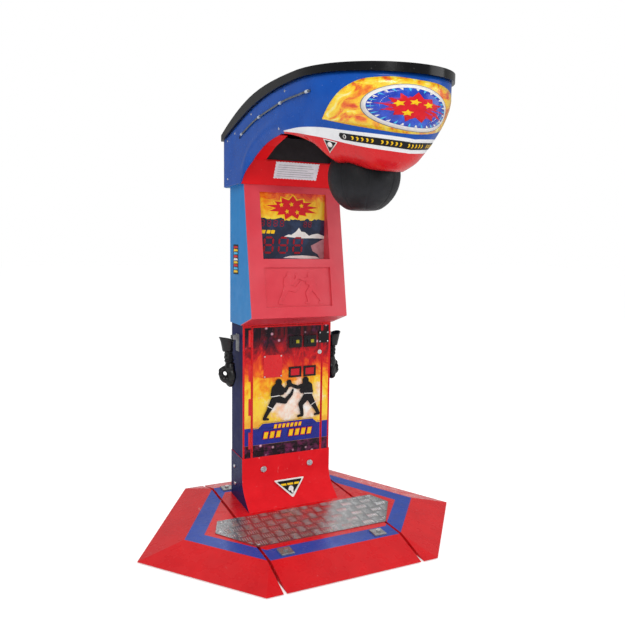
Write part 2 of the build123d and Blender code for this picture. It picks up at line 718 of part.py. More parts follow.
def cabinet_shell():
    """Sides, back and floor of the case, open at the top and behind the fascia."""
    outside = side_prism(CABINET_PROFILE, -CABINET_HALF, CABINET_HALF)
    inside = side_prism(grow(CABINET_PROFILE, -CASE_SHEET), CASE_SHEET - CABINET_HALF,
                        CABINET_HALF - CASE_SHEET)
    inside += block(CASE_SHEET - CABINET_HALF, CABINET_HALF - CASE_SHEET, FASCIA_TOP_Y + 2,
                    COLUMN_BACK - CASE_SHEET, CABINET_TOP - 10, CABINET_TOP + 1)
    front = side_prism(sheet(FASCIA_PATH, FASCIA_SHEET), -CABINET_HALF - 1, CABINET_HALF + 1)
    well = block(*WELL, COLUMN_TOP - 1, COLUMN_TOP + 4)
    half = SERVICE_HALF + DOOR_GAP
    back = block(-half, half, COLUMN_BACK - 4, COLUMN_BACK + 1, SERVICE_LOW - DOOR_GAP,
                 SERVICE_HIGH + DOOR_GAP)
    roof = block(-INNER_HALF, INNER_HALF, FASCIA_TOP_Y + 6, HOOD_BACK - HOOD_WALL - 0.5,
                 CABINET_TOP - 2.5, CABINET_TOP)
    roof -= block(*WELL, CABINET_TOP - 3, CABINET_TOP + 1)
    return outside - inside - front - well - back + roof


def speaker_plane():
    """The middle of the fascia's underside, facing up into the cabinet."""
    (y0, z0), (y1, z1) = FASCIA_PATH[0], FASCIA_PATH[1]
    length = hypot(y1 - y0, z1 - z0)
    up = ((z1 - z0) / length, (y0 - y1) / length)
    middle = ((y0 + y1) / 2 + up[0] * FASCIA_SHEET, (z0 + z1) / 2 + up[1] * FASCIA_SHEET)
    return Plane(origin=(0, *middle), x_dir=(1, 0, 0), z_dir=(0, *up))


def fascia():
    """The moulded front and underside, with the window, the recess and speaker slots."""
    front = side_prism(sheet(FASCIA_PATH, FASCIA_SHEET), -CABINET_HALF, CABINET_HALF)
    lip = front.edges().filter_by(Axis.X).sort_by(Axis.Y)[0]
    front = fillet(lip, 4)
    front -= block(-WINDOW_HALF, WINDOW_HALF, FASCIA_TIP_Y, PANEL_Y, WINDOW_LOW, WINDOW_HIGH)
    front -= fascia_slab(RECESS_HALF, RECESS_LOW, RECESS_HIGH, -20, 20)
    tray = fascia_slab(RECESS_HALF + 3, RECESS_LOW - 3, RECESS_HIGH + 3, 2, RECESS_DEPTH + 3)
    front += tray - fascia_slab(RECESS_HALF, RECESS_LOW, RECESS_HIGH, -20, RECESS_DEPTH)
    for offset in (-40, -20, 0, 20, 40):
        front -= speaker_plane() * (Pos(offset, 0, 0) * Box(6, 90, 30))
    return front + window_bezel()


def speaker():
    """A round loudspeaker: its basket, cone and magnet."""
    basket = Pos(0, 0, 2) * Cylinder(62, 4)
    cone = Pos(0, 0, 4 + 15) * Cone(52, 24, 30)
    magnet = Pos(0, 0, 34 + 10) * Cylinder(36, 20)
    return speaker_plane() * (basket + cone + magnet - Pos(0, 0, 4) * Cone(48, 16, 16))


def window_bezel():
    """The frame that joins the sloping window to the upright display panel."""
    back = PANEL_Y
    clear = FASCIA_SHEET / cos(atan(FASCIA_LEAN)) - 0.5

    def wedge(half, low, high, extra):
        return side_prism([
            (fascia_y(low) + clear - extra, low), (back + extra, low),
            (back + extra, high), (fascia_y(high) + clear - extra, high),
        ], -half, half)

    return (wedge(WINDOW_HALF + 3, WINDOW_LOW - 3, WINDOW_HIGH + 3, 0)
            - wedge(WINDOW_HALF, WINDOW_LOW, WINDOW_HIGH, 2))


def display_panel():
    return block(-WINDOW_HALF - 5, WINDOW_HALF + 5, PANEL_Y, PANEL_Y + 4,
                 WINDOW_LOW - 7, WINDOW_HIGH + 7)


def score_display():
    """A board with seven-segment modules behind the panel: three large and six small."""
    display = display_board()
    places = [(x, 1437, 64, 84) for x in (-95, -18, 59)]
    places += [(x, 1523, 22, 34) for x in (-160, -136, -112, -88, 100, 124)]
    for x, z, wide, high in places:
        one = block(x - wide / 2, x + wide / 2, PANEL_Y + 4, PANEL_Y + 16, z - high / 2, z + high / 2)
        display += one
    return display


def display_board():
    board = block(-185, 185, PANEL_Y + 16, PANEL_Y + 17.6, 1385, 1560)
    for x in (-120, -60, 0, 60, 120):
        board += block(x - 12, x + 12, PANEL_Y + 17.6, PANEL_Y + 22, 1460, 1480)
    return board


def main_board():
    """The game's circuit board on standoffs, with its chips."""
    wall = CASE_SHEET - CABINET_HALF
    board = block(wall + 10, wall + 11.6, -70, 70, 1400, 1640)
    for y in (-60, 60):
        for z in (1410, 1630):
            board += rod(4, (wall, y, z), (wall + 10, y, z))
    for y, z in ((-30, 1450), (30, 1520), (-20, 1590)):
        board += block(wall + 11.6, wall + 16, y - 18, y + 18, z - 18, z + 18)
    return board


def wiring_harness():
    """The sleeved cable from the power supply to the main board."""
    path = FilletPolyline((200, 60, 300), (200, 60, 1500), (200, -22, 1500), (-250, -22, 1500),
                          radius=15)
    return sweep(Plane(origin=path @ 0, z_dir=path % 0) * Circle(5), path=path)


def rear_service_door():
    """A shallow pan over the opening in the cabinet's back."""
    pan = block(-SERVICE_HALF, SERVICE_HALF, COLUMN_BACK - SERVICE_PAN, COLUMN_BACK,
                SERVICE_LOW, SERVICE_HIGH)
    pan -= block(2 - SERVICE_HALF, SERVICE_HALF - 2, COLUMN_BACK - SERVICE_PAN - 1,
                 COLUMN_BACK - 2, SERVICE_LOW + 2, SERVICE_HIGH - 2)
    for z in range(SERVICE_LOW + 60, SERVICE_LOW + 141, 20):
        pan -= block(-60, 60, COLUMN_BACK - 5, COLUMN_BACK + 1, z, z + 6)
    pan -= rod(LOCK_RADIUS, (SERVICE_LOCK_X, COLUMN_BACK - 5, SERVICE_LOCK_Z),
               (SERVICE_LOCK_X, COLUMN_BACK + 1, SERVICE_LOCK_Z))
    return pan + hinge_leaf(SERVICE_HINGE_X, SERVICE_HINGE_Y, COLUMN_BACK, LEAF_REACH,
                            *SERVICE_HINGE_SPAN, 1)


def service_lock_body():
    return lock_body(SERVICE_LOCK_X, COLUMN_BACK, SERVICE_LOCK_Z, 1)


def service_lock_core():
    return lock_core(SERVICE_LOCK_X, COLUMN_BACK, SERVICE_LOCK_Z, 1)


# ---- hood ----

PLAN_LOW = 1600
PLAN_HIGH = 2250
LID_RIM = 18
LID_SKIN = 5
FLANK_TAPER = (-0.06, 22, 260)
JAW_TAPER = (0.083, 47, 165)
JAW_TAIL = 300
FAR_X = 400
FAR_Y = 1400
PAST_BACK = 160
PAST_NOSE = -1300


def hood_plan(inset):
    """The hood seen from above: straight sides and a half-ellipse nose."""
    half = HOOD_HALF - inset
    length = HOOD_BACK - inset - NOSE_START
    middle = NOSE_START + length / 2
    return Pos(0, middle) * Rectangle(2 * half, length) + Pos(0, NOSE_START) * Ellipse(
        half, NOSE_LENGTH - inset)


def hood_prism(inset):
    return extrude(Pos(0, 0, PLAN_LOW) * hood_plan(inset), PLAN_HIGH - PLAN_LOW)


def lid_seam(lift):
    """The curved joint between the hood's sides and its lid, from the nose to the back."""
    return Spline((PAST_NOSE, 2034 + lift), (-918, 2085 + lift), (-640, 2100 + lift),
                  (-299, 2079 + lift), (-64, 2036 + lift), (PAST_BACK, 1988 + lift))


def lid_crown(lift):
    """The lid's upper curve, from the nose to the back."""
    return Spline((PAST_NOSE, 2067 + lift), (-1067, 2098 + lift), (-685, 2134 + lift),
                  (-319, 2131 + lift), (-85, 2090 + lift), (PAST_BACK, 2017 + lift))


def outline_prism(edges):
    """A closed (y, z) outline of edges, run across the whole width."""
    return Pos(-FAR_X, 0, 0) * extrude(Plane.YZ * Face(Wire(edges)), 2 * FAR_X, dir=(1, 0, 0))


def under_lid(lift):
    """Everything below the lid's seam."""
    seam = lid_seam(lift)
    rest = Polyline(seam @ 1, (PAST_BACK, PLAN_LOW), (PAST_NOSE, PLAN_LOW), seam @ 0)
    return outline_prism([seam.edge()] + list(rest.edges()))


def under_crown(lift):
    """Everything below the lid's crown."""
    crown = lid_crown(lift)
    rest = Polyline(crown @ 1, (PAST_BACK, PLAN_LOW), (PAST_NOSE, PLAN_LOW), crown @ 0)
    return outline_prism([crown.edge()] + list(rest.edges()))


def over_arch():
    """Everything behind the jaw and above the hood's lower edge."""
    arch = Spline((-144, HOOD_LOW), (-225, 1823), (-376, 1886), (-513, 1911), (ARCH_END_Y, WAIST_Z))
    rest = Polyline(arch @ 1, (ARCH_END_Y, PLAN_HIGH), (PAST_BACK, PLAN_HIGH),
                    (PAST_BACK, HOOD_LOW), arch @ 0)
    return outline_prism([arch.edge()] + list(rest.edges()))


def over_jaw():
    """Everything in front of the arch and above the jaw's lower edge."""
    edge = Spline((ARCH_END_Y, 1908), (-704, 1897), (-903, 1826), (-982, 1762),
                  tangents=((-1, 0), (-0.75, -0.66)))
    rim = Spline((-982, 1762), (-1080, 1746), (PAST_NOSE, 1722))
    rest = Polyline(rim @ 1, (PAST_NOSE, PLAN_HIGH), (ARCH_END_Y, PLAN_HIGH), edge @ 0)
    return outline_prism([edge.edge(), rim.edge()] + list(rest.edges()))


def narrowed(inset, slope, taper, depth):
    """The hood's plan above a sloping plane through the arch's end, narrowing below that plane."""
    lean = atan(slope)
    origin = (0, ARCH_END_Y, WAIST_Z)
    down = Plane(origin=origin, x_dir=(1, 0, 0), z_dir=(0, sin(lean), -cos(lean)))
    half = HOOD_HALF - inset
    centre = (ARCH_END_Y - NOSE_START) / cos(lean)
    plan = Pos(0, (centre - JAW_TAIL) / 2) * Rectangle(2 * half, centre + JAW_TAIL)
    plan += Pos(0, centre) * Ellipse(half, (NOSE_LENGTH - inset) / cos(lean))
    ahead = block(-FAR_X, FAR_X, -FAR_Y, ARCH_END_Y, PLAN_LOW, PLAN_HIGH)
    below = extrude(down * plan, depth, taper=taper) & ahead
    above = side_prism([(ARCH_END_Y, WAIST_Z), (ARCH_END_Y, PLAN_HIGH), (-FAR_Y, PLAN_HIGH),
                        (-FAR_Y, WAIST_Z - slope * (FAR_Y + ARCH_END_Y))], -FAR_X, FAR_X)
    return (hood_prism(inset) & above) + below


def hull(inset, open_below):
    """The hood as a solid: a straight-sided back, and a front that draws in twice toward the jaw."""
    front = narrowed(inset, *FLANK_TAPER) & narrowed(inset, *JAW_TAPER)
    back = hood_prism(inset)
    if open_below:
        return front + (back & block(-FAR_X, FAR_X, ARCH_END_Y, FAR_X, PLAN_LOW, PLAN_HIGH))
    return (front & over_jaw()) + (back & over_arch())


def hood_shell():
    """The moulded shell, open underneath and closed by the lid on top."""
    return (hull(0, False) & under_lid(-LID_GAP)) - hull(HOOD_WALL, True)


def hood_lid():
    """The crowned lid with a deep rim that overhangs the shell."""
    cap = (hood_prism(-LID_OVERHANG) & under_crown(0)) - under_lid(0)
    return cap - (hood_prism(LID_RIM) & under_crown(-LID_SKIN))


NECK_PATH = [(-136, 1753), (-196, 1870), (-327, 1917), (-466, 1945)]
NECK_SHEET = 4
OPENING_HALF = 176
INNER_HALF = HOOD_HALF - HOOD_WALL - 0.5


def neck_panel():
    """The red front of the neck, bent forward into a soffit on both sides of the opening."""
    upward = [(y, z) for y, z in reversed(NECK_PATH)]
    panel = side_prism(sheet(upward, NECK_SHEET), -INNER_HALF, INNER_HALF)
    opening = block(-OPENING_HALF, OPENING_HALF, -600, NECK_PATH[1][0], NECK_PATH[1][1] - 6, 2000)
    return panel - opening


def hood_liner():
    """The dark lining around the opening: a back wall and two cheeks."""
    low = NECK_PATH[1][1] + 8
    back = block(-OPENING_HALF, OPENING_HALF, -194, -191, low - 5, 1980)
    cheek = side_prism([
        (-192, low), (-327, 1917 + 5), (-464, 1945 + 5), (-464, 2040), (-186, 2020), (-186, low),
    ], OPENING_HALF, OPENING_HALF + 3)
    return back + both(cheek)


STRIP_X = HOOD_HALF + 4.2


def light_strips():
    """A curved light tube on each side of the hood, held by clips."""
    path = Spline((STRIP_X, -155, 1989), (STRIP_X, -367, 2026), (STRIP_X, -535, 2038),
                  (STRIP_X, -830, 2040))
    tube = sweep(Plane(origin=path @ 0, z_dir=path % 0) * Circle(4), path=path)
    for along in (0.02, 0.34, 0.67, 0.98):
        _, y, z = tuple(path @ along)
        tube += block(HOOD_HALF, HOOD_HALF + 10, y - 6, y + 6, z - 7, z + 7)
    return both(tube)


HOOD_SCREWS = [(-60, 2005), (-700, 2075), (-640, 1935), (-300, 2055), (60, 1985), (60, 1790)]


def hood_screws():
    """Small domed screws in the hood's straight sides."""
    screws = None
    for y, z in HOOD_SCREWS:
        dome = rod(5, (HOOD_HALF, y, z), (HOOD_HALF + 3, y, z))
        dome = fillet(dome.faces().sort_by(Axis.X)[-1].edges(), 2)
        screws = dome if screws is None else screws + dome
    return both(screws)


# ---- steel frame inside the hood, arm and ball ----

BEAM_IN = 180
BEAM_OUT = 220
BEAM_LOW = 1985
BEAM_HIGH = 2025
BEAM_FRONT = -1000
BEAM_WALL = 3
STOP_BAR_Y = -811
LATCH_Y = -882
LATCH_Z = 2026
LATCH_PIN = 3
LATCH_ARM = 22
LUG_HEIGHT = 48


def tube_bar(x0, x1, y0, y1, z0, z1, wall, axis):
    """A rectangular tube along x or y."""
    grown = {"x": (0, wall, wall), "y": (wall, 0, wall)}[axis]
    inside = block(x0 + grown[0], x1 - grown[0], y0 + grown[1], y1 - grown[1],
                   z0 + grown[2], z1 - grown[2])
    return block(x0, x1, y0, y1, z0, z1) - inside


def main_frame():
    """The welded frame: post, two roof beams, cross ties, hood brackets and latch plates."""
    back = POST_Y + POST_HALF
    frame = column_post()
    frame += tube_bar(-BEAM_OUT, BEAM_OUT, POST_Y - POST_HALF, back, BEAM_LOW, BEAM_HIGH, BEAM_WALL, "x")
    for side in (-1, 1):
        x0, x1 = sorted((side * BEAM_IN, side * BEAM_OUT))
        frame += tube_bar(x0, x1, BEAM_FRONT, POST_Y - POST_HALF, BEAM_LOW, BEAM_HIGH, BEAM_WALL, "y")
    frame += tube_bar(-BEAM_IN, BEAM_IN, BEAM_FRONT, BEAM_FRONT + BAR, BEAM_LOW, BEAM_HIGH, BEAM_WALL, "x")
    frame += tube_bar(-BEAM_IN, BEAM_IN, STOP_BAR_Y, STOP_BAR_Y + 28, BEAM_LOW, BEAM_HIGH, BEAM_WALL, "x")
    for y in (-600, -120):
        bracket = block(BEAM_OUT, INNER_HALF + 0.5, y, y + 40, BEAM_LOW + 12, BEAM_LOW + 15)
        bracket += block(INNER_HALF - 2.5, INNER_HALF + 0.5, y, y + 40, BEAM_LOW - 20, BEAM_LOW + 15)
        frame += both(bracket)
    plate = block(7, 10, BEAM_FRONT + BAR, LATCH_Y + 9, 2008, 2036)
    frame += both(plate)
    for x in (-6.5, 6.5):
        frame += rod(5, (x * 1.3, LATCH_Y, LATCH_Z), (x, LATCH_Y, LATCH_Z))
    return frame + rod(LATCH_PIN, (-8, LATCH_Y, LATCH_Z), (8, LATCH_Y, LATCH_Z))


def bearing_blocks():
    """Two pillow blocks under the beams, bored for the shaft."""
    block_out = block(BEAM_IN + 2, BEAM_OUT - 2, PIVOT_Y - 26, PIVOT_Y + 26, PIVOT_Z - 24, BEAM_LOW)
    block_out = fillet(block_out.edges().filter_by(Axis.X).group_by(Axis.Z)[0], 14)
    bore = rod(SHAFT_RADIUS + RUNNING_GAP, (BEAM_IN, PIVOT_Y, PIVOT_Z), (BEAM_OUT, PIVOT_Y, PIVOT_Z))
    return both(block_out - bore)


def pivot_shaft():
    """The cross shaft with its slotted sensor disc."""
    shaft = rod(SHAFT_RADIUS, (-224, PIVOT_Y, PIVOT_Z), (224, PIVOT_Y, PIVOT_Z))
    disc = rod(45, (120, PIVOT_Y, PIVOT_Z), (122, PIVOT_Y, PIVOT_Z))
    disc += rod(16, (122, PIVOT_Y, PIVOT_Z), (132, PIVOT_Y, PIVOT_Z))
    slot = block(119, 123, PIVOT_Y - 1.5, PIVOT_Y + 1.5, PIVOT_Z + 34, PIVOT_Z + 46)
    for step in range(24):
        disc -= Pos(0, PIVOT_Y, PIVOT_Z) * Rot(step * 15, 0, 0) * Pos(0, -PIVOT_Y, -PIVOT_Z) * slot
    return shaft + disc


def speed_sensor():
    """A forked optical sensor that straddles the disc's rim."""
    fork = block(108, 134, BEAM_FRONT + BAR, PIVOT_Y - 18, 1992, 2012)
    return fork - block(116, 126, PIVOT_Y - 54, PIVOT_Y, 1991, 2013)


def punch_arm():
    """The hub, its latch lug, the arm tube and the bolt that carries the ball."""
    hub = rod(22, (-30, PIVOT_Y, PIVOT_Z), (30, PIVOT_Y, PIVOT_Z))
    lug = block(-5, 5, PIVOT_Y - 5, PIVOT_Y + 5, PIVOT_Z, PIVOT_Z + LUG_HEIGHT)
    tube = rod(15, (0, PIVOT_Y, BALL_TOP), (0, PIVOT_Y, PIVOT_Z))
    flange = rod(42, (0, PIVOT_Y, BALL_TOP), (0, PIVOT_Y, BALL_TOP + 6))
    bolt = rod(8, (0, PIVOT_Y, BALL_LOW + 6), (0, PIVOT_Y, BALL_TOP))
    arm = hub + lug + tube + flange + bolt
    return arm - rod(SHAFT_RADIUS + 0.02, (-31, PIVOT_Y, PIVOT_Z), (31, PIVOT_Y, PIVOT_Z))


def ball_part(radius, top, low):
    """A sphere around the ball's middle, cut flat above and below."""
    ball = Pos(0, PIVOT_Y, BALL_Z) * Sphere(radius)
    return ball & block(-200, 200, PIVOT_Y - 200, PIVOT_Y + 200, low, top)


def ball_cover():
    """The leather cover, open at the top and bottom for the bolt."""
    skin = ball_part(BALL_RADIUS, BALL_TOP, BALL_LOW) - ball_part(
        BALL_RADIUS - COVER_WALL, BALL_TOP - 6, BALL_LOW + 6)
    return skin - rod(BALL_BORE, (0, PIVOT_Y, BALL_LOW - 1), (0, PIVOT_Y, BALL_TOP + 1))


def ball_foam():
    """The foam body inside the cover."""
    body = ball_part(BALL_RADIUS - COVER_WALL - 0.5, BALL_TOP - 6.5, BALL_LOW + 6.5)
    return body - rod(BALL_BORE, (0, PIVOT_Y, BALL_LOW - 1), (0, PIVOT_Y, BALL_TOP + 1))


def arm_bump_stop():
    """The rubber pad that stops the raised arm."""
    return block(-14, 14, STOP_BAR_Y + 3, STOP_BAR_Y + 23, BEAM_LOW - 6, BEAM_LOW)


def latch_hook():
    """The lever that catches the arm's lug when the ball is pushed up."""
    lever = side_prism([
        (LATCH_Y - 6, LATCH_Z), (LATCH_Y + 5, LATCH_Z - 4), (LATCH_Y - 21, LATCH_Z - 30),
        (LATCH_Y - 27, LATCH_Z - 26),
    ], -5, 5)
    lever += block(-5, 5, LATCH_Y - 4, LATCH_Y + 4, LATCH_Z, LATCH_Z + 24)
    lever += rod(6.5, (-5, LATCH_Y, LATCH_Z), (5, LATCH_Y, LATCH_Z))
    return lever - rod(LATCH_PIN + RUNNING_GAP, (-6, LATCH_Y, LATCH_Z), (6, LATCH_Y, LATCH_Z))


def latch_solenoid():
    """The solenoid that works the hook, with a bore for its plunger."""
    body = block(-14, 14, -958, -918, 2036, 2060)
    return body - rod(4.05, (0, -950, 2048), (0, -917, 2048))


def latch_plunger():
    """The solenoid's rod, whose head stops short of the lever it pushes."""
    z = LATCH_Z + LATCH_ARM
    return rod(4, (0, -942, z), (0, LATCH_Y - 7, z)) + rod(5.5, (0, LATCH_Y - 10, z), (0, LATCH_Y - 7, z))


NODES = [
    base_cover_center, wing_cover_left, wing_cover_right, base_frame_center, wing_frames,
    leveling_feet, base_fasteners, tread_plate, anchor_plates, column_casing,
    column_front_frame, fixed_hinge_leaves, hinge_pins, coin_door, coin_slot_bezels,
    reject_button_left, reject_button_right, coin_mechs, coin_return_frames,
    coin_return_flap_left, coin_return_flap_right, blank_plate, door_hasp, door_screws,
    door_lock_body, door_lock_core, coin_box, power_supply, column_boot, boot_bolts,
    glove_left, glove_right, glove_hangers, cabinet_shell, fascia, speaker, display_panel,
    score_display, main_board, wiring_harness, rear_service_door, service_lock_body,
    service_lock_core, hood_shell, hood_lid, neck_panel, hood_liner, light_strips, hood_screws,
    main_frame, bearing_blocks, pivot_shaft, speed_sensor, punch_arm, ball_cover, ball_foam,
    arm_bump_stop, latch_hook, latch_solenoid, latch_plunger,
]

os.makedirs("parts", exist_ok=True)
for node in NODES:
    export_step(node(), f"parts/{node.__name__}.step")
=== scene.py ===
"""Looks for the boxing punch machine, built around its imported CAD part. Metres throughout."""
from math import atan2, cos, hypot, pi, radians, sin

import bmesh
import bpy
import numpy as np
from mathutils import Matrix, Vector
from mathutils.bvhtree import BVHTree


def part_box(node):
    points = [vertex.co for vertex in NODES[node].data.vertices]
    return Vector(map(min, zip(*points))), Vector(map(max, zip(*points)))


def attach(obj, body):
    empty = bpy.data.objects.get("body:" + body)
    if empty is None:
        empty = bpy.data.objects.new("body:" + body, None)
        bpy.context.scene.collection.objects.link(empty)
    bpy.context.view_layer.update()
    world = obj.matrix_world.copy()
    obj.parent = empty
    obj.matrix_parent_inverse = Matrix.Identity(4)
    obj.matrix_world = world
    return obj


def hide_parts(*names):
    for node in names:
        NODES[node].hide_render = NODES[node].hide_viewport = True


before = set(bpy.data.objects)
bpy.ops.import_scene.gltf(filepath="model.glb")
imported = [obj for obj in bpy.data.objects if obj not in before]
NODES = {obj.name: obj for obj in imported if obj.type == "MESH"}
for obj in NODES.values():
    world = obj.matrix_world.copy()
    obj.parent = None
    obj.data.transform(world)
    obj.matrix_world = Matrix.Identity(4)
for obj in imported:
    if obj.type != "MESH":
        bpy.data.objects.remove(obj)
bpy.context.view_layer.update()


# ---- node trees ----

def tint(code):
    """A web colour as the linear values a shader takes."""
    parts = [int(code[i:i + 2], 16) / 255 for i in (0, 2, 4)]
    linear = [p / 12.92 if p < 0.04045 else ((p + 0.055) / 1.055) ** 2.4 for p in parts]
    return (*linear, 1.0)


class Look:
    """One material's node tree, built in short calls. Positions are object coordinates: the frame's, at rest.

    A value is a number, a tuple, a node's output or a web colour as text.
    """

    def __init__(self, name):
        self.material = bpy.data.materials.new(name)
        self.material.use_nodes = True
        self.tree = self.material.node_tree
        self.shader = self.tree.nodes["Principled BSDF"]
        self.place = self.add("ShaderNodeTexCoord").outputs["Object"]
        self.relief = None

    def feed(self, socket, value):
        """Links an output to a socket, or sets the socket's own value."""
        if isinstance(value, bpy.types.NodeSocket):
            self.tree.links.new(value, socket)
        else:
            socket.default_value = tint(value) if isinstance(value, str) else value

    def add(self, kind, inputs=(), **settings):
        """One node, with its (input, value) pairs fed in."""
        node = self.tree.nodes.new(kind)
        for key, value in settings.items():
            setattr(node, key, value)
        for key, value in inputs:
            self.feed(node.inputs[key], value)
        return node

    def math(self, operation, a, b=0.0):
        return self.add("ShaderNodeMath", [(0, a), (1, b)], operation=operation).outputs[0]

    def times(self, a, b):
        return self.math("MULTIPLY", a, b)

    def plus(self, a, b):
        return self.math("ADD", a, b)

    def most(self, a, b):
        return self.math("MAXIMUM", a, b)

    def over(self, a, limit):
        """1 above the limit, 0 below it."""
        return self.math("GREATER_THAN", a, limit)

    def under(self, a, limit):
        """1 below the limit, 0 above it."""
        return self.math("LESS_THAN", a, limit)

    def dot(self, a, b):
        node = self.add("ShaderNodeVectorMath", [(0, a), (1, b)], operation="DOT_PRODUCT")
        return node.outputs["Value"]

    def spread(self, value, low, high, to_low=0.0, to_high=1.0):
        """A value's range low..high stretched to another range, and held there."""
        pairs = [("Value", value), ("From Min", low), ("From Max", high)]
        pairs += [("To Min", to_low), ("To Max", to_high)]
        return self.add("ShaderNodeMapRange", pairs).outputs["Result"]

    def mapped(self, scale=(1, 1, 1), turn=(0, 0, 0)):
        """Positions stretched and turned, for a texture with a direction."""
        pairs = [("Vector", self.place), ("Scale", scale), ("Rotation", turn)]
        return self.add("ShaderNodeMapping", pairs).outputs["Vector"]

    def noise(self, scale, detail=4.0, rough=0.5, at=None, warp=0.0):
        """Cloudy noise, about 0.5 on average."""
        pairs = [("Vector", at or self.place), ("Scale", scale), ("Detail", detail)]
        pairs += [("Roughness", rough), ("Distortion", warp)]
        return self.add("ShaderNodeTexNoise", pairs).outputs["Fac"]

    def cloud(self, grain, low, high, to_low=0.0, to_high=1.0):
        """Noise with the given arguments, its range low..high stretched to another range."""
        return self.spread(self.noise(*grain), low, high, to_low, to_high)

    def cells(self, scale, output="Distance"):
        """Distance to the nearest of scattered points, or a colour for each cell."""
        pairs = [("Vector", self.place), ("Scale", scale)]
        return self.add("ShaderNodeTexVoronoi", pairs).outputs[output]

    def mix(self, share, a, b):
        """From a (share 0) to b (share 1)."""
        node = self.add("ShaderNodeMix", data_type="RGBA")
        for index, value in ((0, share), (6, a), (7, b)):
            self.feed(node.inputs[index], value)
        return node.outputs[2]

    def ramp(self, value, *stops):
        """A colour picked from (position, colour) stops."""
        node = self.add("ShaderNodeValToRGB", [("Fac", value)])
        while len(node.color_ramp.elements) < len(stops):
            node.color_ramp.elements.new(1.0)
        for element, (position, code) in zip(node.color_ramp.elements, stops):
            element.position = position
            element.color = tint(code)
        return node.outputs["Color"]

    def axis(self, which, at=None):
        """One coordinate of a position or of another vector."""
        return self.add("ShaderNodeSeparateXYZ", [(0, at or self.place)]).outputs[which]

    def edges(self, radius):
        """Near 1 on convex and concave edges, 0 on open faces."""
        rounded_normal = self.add("ShaderNodeBevel", [("Radius", radius)], samples=4).outputs[0]
        plain_normal = self.add("ShaderNodeNewGeometry").outputs["Normal"]
        return self.spread(self.dot(rounded_normal, plain_normal), 0.995, 0.80)

    def bump(self, height, distance, strength=1.0):
        """Adds one more layer of relief; distance is its depth in metres."""
        pairs = [("Height", height), ("Distance", distance), ("Strength", strength)]
        node = self.add("ShaderNodeBump", pairs)
        if self.relief:
            self.feed(node.inputs["Normal"], self.relief)
        self.relief = node.outputs[0]

    def finish(self, color, rough, metal=0.0, **extra):
        """Feeds the shader and returns the material; extra names are its inputs, with _ for a space."""
        pairs = {"Base Color": color, "Roughness": rough, "Metallic": metal}
        pairs.update({key.replace("_", " "): value for key, value in extra.items()})
        for key, value in pairs.items():
            self.feed(self.shader.inputs[key], value)
        if self.relief:
            self.feed(self.shader.inputs["Normal"], self.relief)
        return self.material


# ---- materials ----

PLATFORM_CORNERS = [(-0.644, -0.364), (-0.345, -0.706), (0.345, -0.706), (0.644, -0.364), (0.345, 0.185),
                    (-0.345, 0.185)]
PLATFORM_TOP = 0.0575
FRONT_BORDER = 0.100
SIDE_BORDER = 0.084
TREAD_CREST = 0.0622
DOOR_LOW = 0.378
DOOR_HIGH = 1.016
DOOR_BAND_TOP = 0.474
DOOR_BACK_Y = -0.0892
WINDOW_SPLIT = 1.584


def worn(look, color, dust_color, strength=0.5, scale=14.0):
    """Broad patches of a slightly different tone, the way sunlight and handling leave them."""
    return look.mix(look.cloud((scale, 5, 0.6), 0.35, 0.75, 0, strength), color, dust_color)


def rubbed(look, color, radius, grain, low, high, share, bare):
    """The colour thinned to a bare one along ragged stretches of its edges."""
    return look.mix(look.times(look.edges(radius), look.cloud(grain, low, high, 0, share)), color, bare)


def enamel(look, color, scuffs, scuff_rough, haze, wave, peel=0.00006, **extra):
    """Finishes sprayed enamel: orange peel over a broad wave, with a duller surface in the scuffs."""
    look.bump(look.noise(420, 2), peel)
    look.bump(look.noise(wave[0], 2), wave[1], 0.5)
    return look.finish(color, look.plus(haze, look.times(scuffs, scuff_rough)), **extra)


def film(look, color, low, high, grain=650, depth=0.00003, patches=(40, 3), **extra):
    """Finishes a printed film: a faint texture, and a gloss that wanders between low and high roughness."""
    look.bump(look.noise(grain, 2), depth)
    return look.finish(color, look.cloud(patches, 0.3, 0.7, low, high), **extra)


def gloss_paint(name, code, deep, rough=0.22, chip="8C8680", peel=0.00006, shine=0.35, coat=0.12):
    """Sprayed gloss enamel: orange peel, faint rub marks, thinned colour on the edges."""
    look = Look(name)
    color = worn(look, code, deep)
    scuffs = look.cloud((160, 3, 0.7, look.mapped((1, 0.12, 0.5), (0.3, 0.2, 0.9))), 0.68, 0.76, 0, 0.35)
    color = look.mix(scuffs, color, look.mix(0.5, color, "FFFFFF"))
    color = rubbed(look, color, 0.0015, (90, 4), 0.5, 0.62, 0.6, chip)
    haze = look.cloud((22, 4), 0.3, 0.75, rough, rough + 0.14)
    return enamel(look, color, scuffs, 0.4, haze, (9, 0.0008), peel,
                  Coat_Weight=coat, Coat_Roughness=0.12, Specular_IOR_Level=shine)


def boot_paint():
    """Red enamel in front and behind, navy on the two side faces."""
    look = Look("boot_enamel")
    facing = look.axis("X", look.add("ShaderNodeNewGeometry").outputs["Normal"])
    side = look.over(look.math("ABSOLUTE", facing), 0.75)
    color = look.mix(side, worn(look, "F0242C", "D61722"), worn(look, "1C2257", "161B47"))
    scuffs = look.cloud((120, 3, 0.7, look.mapped((0.3, 1, 0.12), (0.2, 0.1, 0.4))), 0.68, 0.76, 0, 0.3)
    color = look.mix(scuffs, color, "E9DCD8")
    color = rubbed(look, color, 0.002, (80, 4), 0.48, 0.64, 0.5, "9A8F8B")
    haze = look.cloud((20, 4), 0.3, 0.75, 0.22, 0.38)
    return enamel(look, color, scuffs, 0.4, haze, (9, 0.0009), Specular_IOR_Level=0.05)


